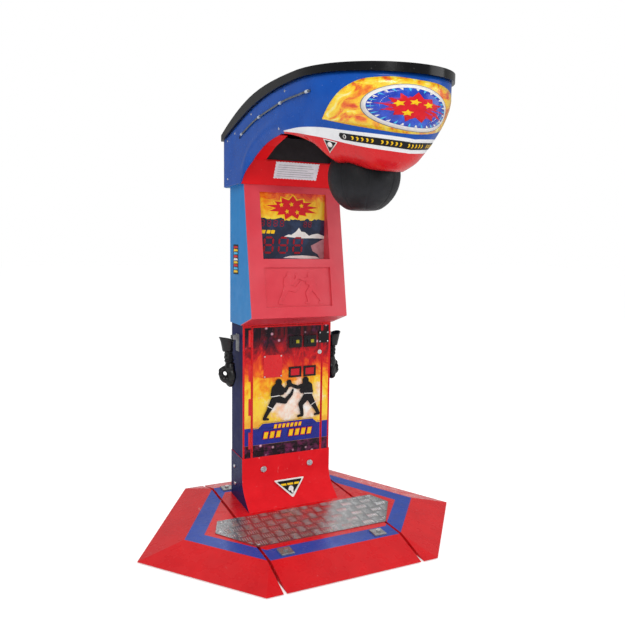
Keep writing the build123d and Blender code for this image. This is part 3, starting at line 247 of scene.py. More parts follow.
def satin_shell(name, code, deep, rough=0.34):
    """Moulded glass-fibre with a satin gel coat: broad waviness and a fine grain."""
    look = Look(name)
    color = worn(look, code, deep, 0.7, 6)
    color = look.mix(look.cloud((2.4, 3, 0.5), 0.4, 0.75, 0, 0.16), color, "F7A9B2")
    color = rubbed(look, color, 0.002, (60, 3), 0.5, 0.7, 0.35, "FFD9D6")
    look.bump(look.noise(700, 2), 0.00004)
    look.bump(look.noise(14, 3), 0.0009, 0.6)
    return look.finish(color, look.cloud((30, 5), 0.3, 0.8, rough, rough + 0.16), Coat_Weight=0.15)


def base_paint():
    """Red enamel with a masked blue border just inside the platform's top edge."""
    look = Look("base_enamel")
    inside = None
    for (ax, ay), (bx, by) in zip(PLATFORM_CORNERS, PLATFORM_CORNERS[1:] + PLATFORM_CORNERS[:1]):
        length = hypot(bx - ax, by - ay)
        nx, ny = (ay - by) / length, (bx - ax) / length
        width = FRONT_BORDER if ay == by == PLATFORM_CORNERS[1][1] else SIDE_BORDER
        depth = look.math("SUBTRACT", look.dot(look.place, (nx, ny, 0)), nx * ax + ny * ay)
        depth = look.math("DIVIDE", depth, width)
        inside = depth if inside is None else look.math("MINIMUM", inside, depth)
    top = look.over(look.axis("Z"), PLATFORM_TOP)
    band = look.times(look.times(look.under(inside, 1.0), look.over(inside, 0.02)), top)
    blue = worn(look, "2B50B4", "1D3A96", 0.8, 9)
    red = worn(look, "E31B22", "C70F1B", 0.6, 7)
    color = look.mix(band, red, blue)
    tread = look.cloud((38, 6, 0.65), 0.56, 0.72, 0, 0.28)
    color = look.mix(look.times(tread, top), color, "7A6660")
    marks = look.cloud((70, 3, 0.6, look.mapped((1, 0.08, 1), (0, 0, 0.5))), 0.70, 0.76, 0, 0.30)
    color = look.mix(marks, color, "F2D5D0")
    color = rubbed(look, color, 0.002, (80, 4), 0.48, 0.64, 0.55, "9A8F8B")
    haze = look.cloud((18, 5), 0.3, 0.75, 0.20, 0.40)
    return enamel(look, color, marks, 0.5, haze, (7, 0.0012), Specular_IOR_Level=0.35)


def metal(name, code, rough, grain=(1, 1, 14), stain="6F6A62"):
    """Bare or plated steel, with a drawn grain and dull blotches."""
    look = Look(name)
    lines = look.noise(220, 3, 0.6, look.mapped(grain))
    blotch = look.cloud((35, 5, 0.6), 0.45, 0.8, 0, 0.5)
    color = look.mix(blotch, look.mix(lines, code, "FFFFFF"), stain)
    look.bump(lines, 0.00004)
    haze = look.spread(lines, 0.3, 0.7, rough, rough + 0.12)
    return look.finish(color, look.plus(haze, look.times(blotch, 0.3)), 1.0)


def galvanised():
    """Zinc-dipped sheet with its crystal spangle."""
    look = Look("galvanised_sheet")
    tone = look.axis("X", look.cells(110, "Color"))
    color = look.ramp(tone, (0.0, "8E9498"), (0.5, "A9AFB2"), (1.0, "C3C8CA"))
    color = worn(look, color, "77746E", 0.5, 10)
    look.bump(tone, 0.00003)
    return look.finish(color, look.spread(tone, 0, 1, 0.32, 0.5), 0.9)


def moulded(name, code, deep, rough=0.42, grain=520, depth=0.00009):
    """Injection-moulded plastic with a spark-eroded grain."""
    look = Look(name)
    color = worn(look, code, deep, 0.7, 25)
    color = look.mix(look.times(look.edges(0.0008), 0.35), color, "A6A6A6")
    look.bump(look.cells(grain), depth)
    haze = look.cloud((60, 3), 0.3, 0.7, rough, rough + 0.15)
    return look.finish(color, haze, Specular_IOR_Level=0.25)


def rubber():
    """Dusty black rubber."""
    look = Look("feet_rubber")
    color = worn(look, "1B1B1C", "3C3A36", 0.8, 40)
    look.bump(look.noise(900, 3), 0.0002)
    return look.finish(color, look.cloud((80, 3), 0.3, 0.7, 0.7, 0.9))


def hide(name, code, worn_code, cell, depth, rough, sheen=0.0, shine=0.3):
    """Leather or vinyl: pebbled grain, wrinkles, and a paler rubbed surface on the crests."""
    look = Look(name)
    grain = look.cells(cell)
    folds = look.noise(38, 5, 0.6, warp=1.2)
    crests = look.cloud((11, 4, 0.6), 0.42, 0.72, 0, 0.7)
    color = look.mix(crests, code, worn_code)
    color = look.mix(look.spread(grain, 0.0, 0.5, 0.5, 0.0), color, "050506")
    look.bump(grain, depth)
    look.bump(folds, depth * 5, 0.5)
    gloss = look.plus(look.spread(folds, 0.3, 0.7, rough, rough + 0.18), look.times(crests, 0.06))
    return look.finish(color, gloss, Sheen_Weight=sheen, Specular_IOR_Level=shine)


def foam():
    """Pale yellow open-cell foam."""
    look = Look("open_cell_foam")
    pores = look.cells(380)
    color = look.mix(look.spread(pores, 0.1, 0.6), "8F8B62", "D8D1A0")
    look.bump(pores, 0.0008)
    return look.finish(color, 0.95)


def board():
    """Green solder mask over copper runs."""
    look = Look("circuit_board_mask")
    at = look.mapped((90, 90, 90), (pi / 2, 0, 0))
    runs = look.add("ShaderNodeTexBrick", [("Vector", at)]).outputs["Fac"]
    pads = look.spread(look.cells(260), 0.18, 0.22, 1, 0)
    color = look.mix(look.times(runs, 0.6), "0F5A33", "2E8B57")
    color = look.mix(pads, color, "C9B36A")
    look.bump(pads, 0.0001)
    return look.finish(color, 0.35)


def tread_metal():
    """Bright rolled aluminium plate, dulled where feet have been."""
    look = Look("tread_bright")
    scratches = look.noise(500, 2, 0.6, look.mapped((1, 0.1, 1), (0, 0, 0.4)))
    cross = look.noise(480, 2, 0.6, look.mapped((0.1, 1, 1), (0, 0, 0.2)))
    lines = look.most(scratches, cross)
    grime = look.cloud((24, 6, 0.65), 0.45, 0.8, 0, 0.55)
    bright = look.over(look.axis("Z"), TREAD_CREST)
    color = look.mix(bright, look.mix(lines, "8E9092", "C4C6C8"), "F2F3F4")
    color = look.mix(grime, color, "7C7875")
    look.bump(lines, 0.00006)
    haze = look.spread(lines, 0.4, 0.8, 0.20, 0.36)
    return look.finish(color, look.plus(haze, look.times(grime, 0.25)), 0.96)


def fire(look, across, height):
    """Licks of flame that stretch upward: pale at the foot, red and then dark at the tips."""
    pairs = [(0, look.times(across, 9.0)), (2, look.times(height, 2.6))]
    licks = look.noise(1.6, 6, 0.62, look.add("ShaderNodeCombineXYZ", pairs).outputs[0], warp=1.4)
    level = look.plus(height, look.spread(licks, 0.25, 0.8, -0.24, 0.24))
    return look.ramp(level, (0.0, "F8B63A"), (0.14, "FFD548"), (0.28, "FFDE3A"), (0.42, "FDB01C"),
                     (0.56, "EF5A1A"), (0.72, "CE141D"), (0.86, "7A0C1C"), (1.0, "1A0A18"))


def door_glow(look, x, z, color):
    """The pale cloud behind the door's two figures."""
    across = look.math("DIVIDE", look.math("SUBTRACT", x, 0.045), 0.175)
    above = look.math("DIVIDE", look.math("SUBTRACT", z, 0.600), 0.125)
    reach = look.math("SQRT", look.plus(look.math("POWER", across, 2.0), look.math("POWER", above, 2.0)))
    reach = look.plus(reach, look.cloud((14, 5, 0.6), 0.3, 0.7, -0.35, 0.35))
    glow = look.ramp(look.noise(22, 4), (0.35, "F9C9AE"), (0.55, "FDF1E2"), (0.7, "FFFFFF"))
    return look.mix(look.spread(reach, 1.05, 0.65), color, glow)


def door_night(look, x, z, color):
    """The dark sky above the fire, the dark foot and the violet band, with sparks in the dark parts."""
    smoke = look.cloud((15, 6, 0.6), 0.46, 0.60)
    dark = look.mix(look.cloud((40, 5), 0.45, 0.7), "1D0A16", "6E2450")
    foot = look.spread(z, DOOR_LOW + 0.002, DOOR_LOW - 0.002)
    dark_share = look.most(look.times(look.spread(z, 0.905, 0.955), smoke), foot)
    color = look.mix(dark_share, color, dark)
    band = look.times(look.over(z, DOOR_LOW), look.under(z, DOOR_BAND_TOP))
    color = look.mix(band, color, worn(look, "26309A", "1C2478", 0.8, 30))
    pick = look.over(look.axis("X", look.cells(26, "Color")), 0.55)
    spark = look.times(look.spread(look.cells(26), 0.04, 0.26, 1, 0), pick)
    spark = look.times(spark, look.most(look.spread(z, 0.9, 0.93), foot))
    return look.mix(spark, color, "FFC4DA")


def door_print():
    """The door's printed film: fire, a dark sky, a pale glow behind the figures, red edges; grey behind."""
    look = Look("door_film")
    x, z = look.axis("X"), look.axis("Z")
    color = fire(look, x, look.spread(z, 0.470, 0.975))
    color = door_night(look, x, z, door_glow(look, x, z, color))
    aside = look.math("ABSOLUTE", x)
    gap = look.under(look.math("ABSOLUTE", look.math("SUBTRACT", aside, 0.2055)), 0.0065)
    red_share = look.most(look.most(gap, look.over(aside, 0.2465)), look.over(z, DOOR_HIGH))
    color = look.mix(red_share, color, "D8141F")
    color = look.mix(look.cloud((70, 4, 0.7), 0.68, 0.76, 0, 0.3), color, "E8D8CC")
    behind = look.over(look.axis("Y"), DOOR_BACK_Y)
    color = look.mix(behind, color, worn(look, "2A2D33", "1E2024"))
    return film(look, color, 0.22, 0.38, 500, 0.00004, (25, 4), Specular_IOR_Level=0.25)


def display_print():
    """The score window's printed glass: fire over a deep blue field."""
    look = Look("display_film")
    z = look.axis("Z")
    flames = fire(look, look.axis("X"), look.spread(z, 1.560, 1.745, 0.22, 0.70))
    field = look.mix(look.cloud((13, 6, 0.62), 0.45, 0.72), "18233F", "2F4468")
    edge = look.plus(z, look.cloud((30, 3), 0.3, 0.7, -0.008, 0.008))
    color = look.mix(look.over(edge, WINDOW_SPLIT), field, flames)
    return film(look, color, 0.10, 0.2, 300, patches=(20, 4), Coat_Weight=0.6)


def ink(name, code, deep, rough=0.32):
    """Screen-printed vinyl: mottled ink, hairline wear and a faint film texture."""
    look = Look(name)
    color = worn(look, code, deep, 0.8, 45)
    color = look.mix(look.cloud((150, 4, 0.7), 0.68, 0.75, 0, 0.30), color, "DDD6CE")
    return film(look, color, rough, rough + 0.12, Specular_IOR_Level=0.2)


def flame_film():
    """The nose graphic's ground: hot yellow with orange and red licks."""
    look = Look("flame_film")
    licks = look.noise(9, 6, 0.62, look.mapped((1, 1, 1.6)), warp=2.2)
    color = look.ramp(licks, (0.30, "D9381C"), (0.40, "F3791F"), (0.48, "FCC11E"), (0.58, "FFE13A"),
                      (0.70, "FFF6B8"), (0.80, "FFE13A"))
    return film(look, color, 0.2, 0.34, Coat_Weight=0.5)


def oval_film():
    """The nose graphic's oval: blue with lighter drifts."""
    look = Look("oval_film")
    drift = look.cloud((20, 5, 0.6), 0.35, 0.75)
    color = look.ramp(drift, (0.0, "1230A8"), (0.5, "1747C9"), (1.0, "2F8BE6"))
    return film(look, color, 0.2, 0.34, Coat_Weight=0.5)


def lit(name, code, strength, rough=0.3):
    """A diffusing plastic with a little light behind it."""
    look = Look(name)
    color = worn(look, code, "9FA6AA", 0.4, 60)
    look.bump(look.noise(400, 2), 0.0001)
    return look.finish(color, rough, Emission_Color=color, Emission_Strength=strength)


# ---- mesh helpers ----

def piece(name, points, faces, materials, body="root", smooth=False, indices=None):
    """A mesh object that rides on a CAD body."""
    mesh = bpy.data.meshes.new(name)
    mesh.from_pydata([tuple(p) for p in points], [], faces)
    for material in materials if isinstance(materials, list) else [materials]:
        mesh.materials.append(material)
    if indices:
        mesh.polygons.foreach_set("material_index", indices)
    mesh.polygons.foreach_set("use_smooth", [smooth] * len(mesh.polygons))
    obj = bpy.data.objects.new(name, mesh)
    bpy.context.scene.collection.objects.link(obj)
    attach(obj, body)
    return obj


def outward(obj):
    """Turns the faces of a closed shape so that their normals point out."""
    shape = bmesh.new()
    shape.from_mesh(obj.data)
    bmesh.ops.recalc_face_normals(shape, faces=shape.faces)
    shape.to_mesh(obj.data)
    shape.free()


def thicken(obj, depth, side=1.0):
    """Gives a surface a thickness, outward (1) or inward (-1) of its normals."""
    modifier = obj.modifiers.new("thickness", "SOLIDIFY")
    modifier.thickness = depth
    modifier.offset = side
    return obj


def lattice(columns, rows, wrap=False):
    """Quads joining a grid of points stored column by column."""
    faces = []
    for c in range(columns if wrap else columns - 1):
        d = (c + 1) % columns
        for r in range(rows - 1):
            faces.append((c * rows + r, c * rows + r + 1, d * rows + r + 1, d * rows + r))
    return faces


def arc(centre, radius, start, end, steps, tall=1.0):
    """Points along a circle or ellipse."""
    turns = [start + (end - start) * k / steps for k in range(steps + 1)]
    return [(centre[0] + radius * cos(t), centre[1] + radius * tall * sin(t)) for t in turns]


def disc(centre, radius, tall=1.0):
    """A full circle or ellipse."""
    return arc(centre, radius, 0, 2 * pi * 31 / 32, 31, tall)


def limb(a, b, ra, rb):
    """A rounded bar that tapers from radius ra at a to rb at b."""
    turn = atan2(b[1] - a[1], b[0] - a[0])
    return arc(b, rb, turn - pi / 2, turn + pi / 2, 9) + arc(a, ra, turn + pi / 2, turn + 3 * pi / 2, 9)


def star(centre, points, outer, inner, tall=0.6, twist=0.0, uneven=0.18):
    """A burst with spikes of alternating reach."""
    outline = []
    for k in range(points * 2):
        reach = inner if k % 2 else outer * (1 - uneven * (k // 2 % 3) / 2)
        turn = twist + pi * k / points
        outline.append((centre[0] + reach * cos(turn), centre[1] + reach * tall * sin(turn)))
    return outline


def moved(outline, shift, scale=1.0, flip=1):
    """An outline scaled, mirrored when flip is -1, and shifted."""
    return [(shift[0] + flip * scale * x, shift[1] + scale * y) for x, y in outline]


def centroid(outline):
    """The mean of an outline's points."""
    return tuple(sum(p[k] for p in outline) / len(outline) for k in (0, 1))


FILM = 0.0003
THIN = 0.0002
HAIR = 0.00005


def lay(name, outlines, material, at, depth=FILM, lift=HAIR, body="root"):
    """Thin plates with the given outlines on a plane (origin, across, up), each a hair above the last."""
    origin, across, up = (Vector(v) for v in at)
    across.normalize()
    up.normalize()
    out = across.cross(up)
    points, faces = [], []
    for k, outline in enumerate(outlines):
        area = sum(a[0] * b[1] - b[0] * a[1] for a, b in zip(outline, outline[1:] + outline[:1]))
        ring = outline if area > 0 else outline[::-1]
        low = lift + k * 0.00003
        base, size = len(points), len(ring)
        for height in (low, low + depth):
            points += [origin + across * x + up * y + out * height for x, y in ring]
        faces.append(tuple(range(base + size, base + 2 * size)))
        faces.append(tuple(range(base + size - 1, base - 1, -1)))
        for i in range(size):
            j = (i + 1) % size
            faces.append((base + i, base + j, base + size + j, base + size + i))
    return piece(name, points, faces, material, body)


# ---- the hood's shell ----

LID = BVHTree.FromObject(NODES["hood_lid"], bpy.context.evaluated_depsgraph_get())
HALF = 0.290
BACK_Y = 0.126
NOSE_Y = -0.833
NOSE = 0.435
STATION = NOSE * pi / 2
BACK_STATION = 1 + (BACK_Y - NOSE_Y) / STATION
LAST_STATION = BACK_STATION + HALF / STATION
ARCH_END = -0.640
ARCH_FOOT = 1.752
SHELL = 0.005
PAINT_END = 1.26
BLUE_ROWS, WHITE_ROWS, RED_ROWS = 14, 3, 9


def ease(t):
    """0 to 1 with a soft start and end, held outside that range."""
    t = min(max(t, 0.0), 1.0)
    return t * t * (3 - 2 * t)


def lane(*points):
    """A smooth curve through (position, value) points, as a function of position."""
    xs = np.array([p[0] for p in points])
    ys = np.array([p[1] for p in points])
    slopes = np.gradient(ys, xs)

    def value(x):
        x = min(max(x, xs[0]), xs[-1])
        k = min(max(int(np.searchsorted(xs, x)) - 1, 0), len(xs) - 2)
        span = xs[k + 1] - xs[k]
        t = (x - xs[k]) / span
        a = (1 + 2 * t) * (1 - t) ** 2 * ys[k] + t * t * (3 - 2 * t) * ys[k + 1]
        return a + span * (t * (1 - t) ** 2 * slopes[k] - t * t * (1 - t) * slopes[k + 1])

    return value


# Heights over y: the lid's seam, the jaw's arch, the strip. Heights over the station: rim and white band.
seam = lane((-1.300, 2.034), (-0.918, 2.085), (-0.640, 2.100), (-0.299, 2.079), (-0.064, 2.036),
            (0.160, 1.988))
arch = lane((-0.640, 1.917), (-0.513, 1.911), (-0.376, 1.886), (-0.225, 1.823), (-0.144, 1.752))
rim = lane((0, 1.728), (0.3, 1.734), (0.5, 1.745), (0.75, 1.772), (0.89, 1.788), (0.94, 1.822), (1.08, 1.882),
           (1.19, 1.905), (1.283, 1.915))
band_top = lane((0, 1.830), (0.16, 1.836), (0.41, 1.852), (0.63, 1.873), (0.85, 1.899), (1.03, 1.915),
                (1.25, 1.924))
band_low = lane((0, 1.785), (0.12, 1.788), (0.42, 1.806), (0.66, 1.833), (0.85, 1.862), (0.99, 1.883),
                (1.09, 1.899), (1.25, 1.921))
strip = lane((-0.903, 2.033), (-0.718, 2.043), (-0.535, 2.037), (-0.367, 2.026), (-0.155, 1.989))


def side_y(station):
    """How far back a station on the hood's plan is: 0 is the nose, 1 the end of the straight side."""
    a = abs(station)
    if a <= 1:
        return NOSE_Y - NOSE * cos(a * pi / 2)
    return min(NOSE_Y + (a - 1) * STATION, BACK_Y)


def lean(station, z):
    """How far the wall stands inside the hood's widest plan."""
    y = side_y(station)
    waist = 1.917 + 0.2265 * min(y + 0.666, 0)
    drop = max(0.0, waist + 0.190 - z) / 0.250
    tuck = 0.150 * ease((-0.62 - y) / 0.52) * drop ** 1.7
    if abs(station) > BACK_STATION:
        return 0.0
    edge = arch(y)
    bevel = 0.020 * max(0.0, 1 - (z - edge) / 0.060) ** 2 * ease((-0.17 - y) / 0.10) * ease((y + 0.80) / 0.25)
    lip = 0.030 * max(0.0, 1 - (z - rim(abs(station))) / 0.038) ** 2 * ease((-0.70 - y) / 0.15)
    step = ease((strip(y) + 0.006 - z) / 0.012) * ease((z - edge - 0.055) / 0.03) * ease((y + 0.90) / 0.07)
    return tuck + bevel + lip + 0.003 * step * ease((0.05 - y) / 0.10)


def hull(station, z, lift=0.0):
    """A point on the hood's outside."""
    a, side = abs(station), 1 if station > 0 else -1
    inset = lean(station, z) - lift
    if a <= 1:
        turn = a * pi / 2
        return Vector((side * (HALF - inset) * sin(turn), NOSE_Y - (NOSE - inset) * cos(turn), z))
    if a <= BACK_STATION:
        return Vector((side * (HALF - inset), side_y(station), z))
    return Vector((side * (HALF - (a - BACK_STATION) * STATION), BACK_Y + lift, z))


def lid_height(station):
    """The underside of the lid's rim above a station."""
    start = hull(station, 2.0, -0.0025)
    found = LID.ray_cast(start, Vector((0, 0, 1)))[0]
    return (found.z if found else seam(side_y(station))) - 0.0002


def hull_rows(station):
    """A column's heights: the blue wall, the white band and the red jaw, each with its own rows."""
    y, a = side_y(station), abs(station)
    top = lid_height(station)
    if y < ARCH_END:
        high, low, edge = band_top(a), band_low(a), rim(a)
    else:
        edge = arch(y) if a < BACK_STATION else ARCH_FOOT
        grow = ease((y - ARCH_END) / 0.10)
        high, low = edge + 0.009 + 0.056 * grow, edge + 0.006 + 0.034 * grow
    wall = list(np.linspace(top, high, BLUE_ROWS + 1))
    band = list(np.linspace(high, low, WHITE_ROWS + 1))[1:]
    jaw = list(np.linspace(low, edge, RED_ROWS + 1))[1:]
    return wall + band + jaw


def build_hood(blue, white, red):
    """The one-piece moulding: blue walls and back, with a white band and a red jaw around the nose."""
    nose = [k / 60 for k in range(61)]
    sides = list(np.linspace(1, BACK_STATION, 92))[1:]
    back = list(np.linspace(BACK_STATION, LAST_STATION, 8))[1:-1]
    half = nose[1:] + sides + back
    stations = [-s for s in half[::-1]] + [0.0] + half + [LAST_STATION]
    rows = len(hull_rows(0))
    points = [hull(s, z) for s in stations for z in hull_rows(s)]
    faces = lattice(len(stations), rows, wrap=True)
    indices = []
    for k in range(len(faces)):
        column, row = divmod(k, rows - 1)
        a = max(abs(stations[column]), abs(stations[(column + 1) % len(stations)]))
        painted = 0 if row < BLUE_ROWS else 1 if row < BLUE_ROWS + WHITE_ROWS else 2
        indices.append(painted if a < PAINT_END else 0)
    coats = [blue, white, red]
    shell = piece("hood_moulding", points, faces, coats, smooth=True, indices=indices)
    thicken(shell, SHELL, -1.0 if facing_out(shell) else 1.0)
    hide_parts("hood_shell")


def facing_out(obj):
    """True if the first face's normal points away from the hood's middle."""
    face = obj.data.polygons[0]
    return face.normal.dot(face.center - Vector((0, -0.4, face.center.z))) > 0


def hood_sheet(name, columns, material, lift=0.0004, depth=0.0003):
    """A film on the hood: each column is a station and the heights it spans."""
    rows = 9
    points = []
    for s, low, high in columns:
        points += [hull(s, low + (high - low) * r / (rows - 1), lift) for r in range(rows)]
    obj = piece(name, points, lattice(len(columns), rows), material, smooth=True)
    return thicken(obj, depth, 1.0 if facing_out(obj) else -1.0)


def shrunk(outline, centre, share):
    """An outline scaled about a centre."""
    return [(centre[0] + (x - centre[0]) * share, centre[1] + (y - centre[1]) * share) for x, y in outline]


def hood_spot(name, outline, centre, material, lift, rings=6):
    """A film on the hood with a free (station, height) outline, filled in rings around its centre."""
    points = [hull(*centre, lift)]
    for ring in range(1, rings + 1):
        share = ring / rings
        points += [hull(s, z, lift) for s, z in shrunk(outline, centre, share)]
    size = len(outline)
    faces = [(0, 1 + i, 1 + (i + 1) % size) for i in range(size)]
    for ring in range(rings - 1):
        base = 1 + ring * size
        for i in range(size):
            j = (i + 1) % size
            faces.append((base + i, base + size + i, base + size + j, base + j))
    obj = piece(name, points, faces, material, smooth=True)
    return thicken(obj, 0.0003, 1.0 if facing_out(obj) else -1.0)


OVAL = (-0.085, 1.928)
OVAL_TILT = -0.036
FIELD_WIDE, FIELD_TALL = 0.352, 0.0615
TICKS = 34
LABEL_START, LABEL_END, LABEL_HALF = -0.690, 0.60, 0.0112


def oval_point(half_width, half_height, turn):
    """A point on an ellipse on the nose; it sinks a little towards the player's right."""
    s = half_width * cos(turn)
    return (OVAL[0] + s, OVAL[1] + OVAL_TILT * s + half_height * sin(turn))


def oval(half_width, half_height, steps=64):
    """The whole ellipse."""
    return [oval_point(half_width, half_height, 2 * pi * k / steps) for k in range(steps)]


def build_nose(looks):
    """The graphic wrapped around the nose: flames, an oval with ticks, a burst and four stars."""
    top = lane((-0.79, 1.926), (-0.70, 1.968), (-0.61, 2.002), (-0.51, 2.024), (-0.34, 2.030), (-0.06, 2.019),
               (0.20, 2.014), (0.42, 1.998), (0.55, 1.960), (0.62, 1.926))
    low = lane((-0.79, 1.921), (-0.65, 1.898), (-0.42, 1.868), (-0.17, 1.848), (0.0, 1.846), (0.25, 1.862),
               (0.48, 1.895), (0.62, 1.921))
    columns = [(s, low(s), top(s)) for s in np.linspace(-0.795, 0.62, 110)]
    hood_sheet("nose_flame_film", columns, looks["flame"])
    hood_spot("nose_oval_line", oval(0.392, 0.0745), OVAL, looks["grey"], 0.0008)
    hood_spot("nose_oval_border", oval(0.385, 0.0725), OVAL, looks["white"], 0.0012)
    hood_spot("nose_oval_field", oval(FIELD_WIDE, FIELD_TALL), OVAL, looks["oval"], 0.0016)
    for k in range(TICKS):
        turn = 2 * pi * k / TICKS + 0.05
        inner, wide = (0.80, 0.035) if k % 2 else (0.86, 0.045)
        tick = []
        for share, swing in ((0.985, -wide), (0.985, wide), (inner, 0.0)):
            tick.append(oval_point(FIELD_WIDE * share, FIELD_TALL * share, turn + swing))
        look = looks["cyan"] if k % 2 else looks["white"]
        hood_spot(f"nose_oval_tick_{k:02d}", tick, centroid(tick), look, 0.0020, 2)
    burst = []
    for s, z in star((0, 0), 13, 0.325, 0.205, tall=1.0, twist=0.12):
        burst.append((OVAL[0] + 0.02 + s, OVAL[1] + OVAL_TILT * s + z * 0.152))
    hood_spot("nose_burst", burst, OVAL, looks["red"], 0.0024)
    spots = [(-0.12, 0.012, 0.3), (0.0, 0.016, -0.2), (0.12, 0.010, 0.3), (-0.05, -0.018, 0.0)]
    for k, (s, z, tilt) in enumerate(spots):
        at = (OVAL[0] + s, OVAL[1] + z)
        outline = moved(star((0, 0), 5, 0.052, 0.026, tall=0.21, twist=pi / 2 + tilt, uneven=0.0), at)
        hood_spot(f"nose_star_{k}", outline, at, looks["yellow"], 0.0030, 2)


def build_strip_label(looks):
    """The black strip in the white band: a round arrow and a row of slanted marks."""
    def middle(s):
        return (band_top(abs(s)) + band_low(abs(s))) / 2

    def half(s):
        """Half the strip's height, with round ends."""
        end = min(s - LABEL_START, LABEL_END - s) / 0.025
        return LABEL_HALF * (1 - max(0.0, 1 - end) ** 2) ** 0.5 if end < 1 else LABEL_HALF

    stations = np.linspace(LABEL_START, LABEL_END, 100)
    columns = [(s, middle(s) - half(s), middle(s) + half(s)) for s in stations]
    hood_sheet("instruction_strip", columns, looks["black"], 0.0008)
    spot = (-0.640, middle(-0.640))
    hood_spot("instruction_dot", disc(spot, 0.0145, 0.48), spot, looks["white"], 0.0013, 2)
    arrow = [(0.0, -0.0052), (0.010, 0.0012), (0.0045, 0.0012), (0.0045, 0.0050), (-0.0045, 0.0050),
             (-0.0045, 0.0012), (-0.010, 0.0012)]
    hood_spot("instruction_arrow", moved(arrow, spot), spot, looks["black"], 0.0018, 2)
    slant = [(-0.012, -0.0058), (0.004, -0.0058), (0.014, 0), (0.004, 0.0058), (-0.012, 0.0058), (-0.002, 0)]
    marks = [-0.57 + 0.044 * k for k in range(26) if k % 6 != 5]
    for k, s in enumerate(marks):
        z = middle(s)
        outline = moved(slant, (s, z))
        hood_spot(f"instruction_mark_{k:02d}", outline, (s + 0.002, z), looks["yellow"], 0.0013, 2)


# ---- ball, gloves, tread, light strips ----

BALL_AT = Vector((0, -0.858, 1.733))
BALL_R = 0.1496
GORES = 8
STITCH_REACH = 0.092
GLOVE_X = 0.314
GLOVE_Y = -0.008
PUFF_CAP = 0.003


def build_ball(leather, thread):
    """The leather ball: eight gores with sunk seams, a groove near the foot and one near the collar."""
    turns, rows = 192, 72
    low, high = -0.1365, 0.1395
    points = []
    for k in range(turns):
        turn = 2 * pi * k / turns + pi / GORES
        near = abs(((k / turns * GORES) + 0.5) % 1 - 0.5) / GORES * 2 * pi
        for r in range(rows + 1):
            t = r / rows
            z = low + (high - low) * t
            flat = max(0.0, BALL_R ** 2 - z * z) ** 0.5
            groove = 0.0022 * max(0.0, 1 - (near * flat / 0.0042)) ** 1.5
            swell = 0.0016 * (1 - min(near * flat / 0.05, 1.0)) * (t * (1 - t) * 4)
            rings = [0.0016 * max(0.0, 1 - abs(z - at) / 0.003) for at in (0.096, -0.100)]
            reach = max(flat - groove - swell - sum(rings), 0.003)
            corner = max(min((z - low) / 0.008, (high - z) / 0.008, 1.0), 0.0)
            reach -= 0.008 * (1 - (corner * (2 - corner)) ** 0.5)
            points.append(BALL_AT + Vector((reach * cos(turn), reach * sin(turn), z)))
    faces = lattice(turns, rows + 1, wrap=True)
    bottom, top = len(points), len(points) + 1
    points += [BALL_AT + Vector((0, 0, low - 0.0004)), BALL_AT + Vector((0, 0, high))]
    for k in range(turns):
        d = (k + 1) % turns
        faces.append((bottom, d * (rows + 1), k * (rows + 1)))
        faces.append((top, k * (rows + 1) + rows, d * (rows + 1) + rows))
    ball = piece("ball_leather", points, faces, leather, "punch_arm", smooth=True)
    outward(ball)
    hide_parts("ball_cover")
    stitch_ball(thread)


def stitch_ball(thread):
    """Small raised stitches along both sides of every seam."""
    stitches, links = [], []
    steps = 45
    for k in range(GORES):
        for side in (-1, 1):
            for step in range(steps + 1):
                z = STITCH_REACH * (2 * step / steps - 1)
                flat = (BALL_R ** 2 - z * z) ** 0.5
                turn = 2 * pi * k / GORES + pi / GORES + side * 0.0055 / flat
                out = Vector((flat * cos(turn), flat * sin(turn), z)).normalized()
                along = Vector((-z * cos(turn), -z * sin(turn), flat)).normalized()
                across = out.cross(along)
                base = len(stitches)
                middle = BALL_AT + out * (BALL_R - 0.0006)
                for a, b, h in ((-1, 0, 0), (0, -1, 0.2), (1, 0, 0), (0, 1, 0.2), (0, 0, 1)):
                    stitches.append(middle + along * a * 0.0013 + across * b * 0.0005 + out * h * 0.0006)
                links += [(base + i, base + (i + 1) % 4, base + 4) for i in range(4)]
    piece("ball_stitches", stitches, links, thread, "punch_arm")


def blob(centre, radii, turn=0.0, lean=0.0, steps=20):
    """Points and faces of a turned ellipsoid, a starting lump for a soft shape."""
    centre, spin = Vector(centre), Matrix.Rotation(turn, 3, "X") @ Matrix.Rotation(lean, 3, "Y")
    points = []
    for k in range(steps):
        for r in range(steps // 2 + 1):
            up = pi * r / (steps // 2) - pi / 2
            around = 2 * pi * k / steps
            unit = Vector((cos(up) * cos(around), cos(up) * sin(around), sin(up)))
            points.append(centre + spin @ (unit * Vector(radii)))
    return points, lattice(steps, steps // 2 + 1, wrap=True)


def puff(obj, pressure, frames, cap):
    """Inflates a closed mesh with Cloth, holds each point within cap of where it began, and applies it."""
    scene = bpy.context.scene
    start = [v.co.copy() for v in obj.data.vertices]
    cloth = obj.modifiers.new("cloth", "CLOTH")
    cloth.settings.use_pressure = True
    cloth.settings.uniform_pressure_force = pressure
    cloth.settings.effector_weights.gravity = 0
    cloth.settings.tension_stiffness = 12
    cloth.settings.bending_stiffness = 0.6
    cloth.point_cache.frame_start = 1
    cloth.point_cache.frame_end = frames
    for number in range(1, frames + 1):
        scene.frame_set(number)
    shaped = obj.evaluated_get(bpy.context.evaluated_depsgraph_get()).to_mesh()
    ends = [v.co.copy() for v in shaped.vertices]
    obj.modifiers.remove(cloth)
    scene.frame_set(1)
    for vertex, a, b in zip(obj.data.vertices, start, ends):
        move = b - a
        vertex.co = a + move * min(1.0, cap / max(move.length, 1e-9))


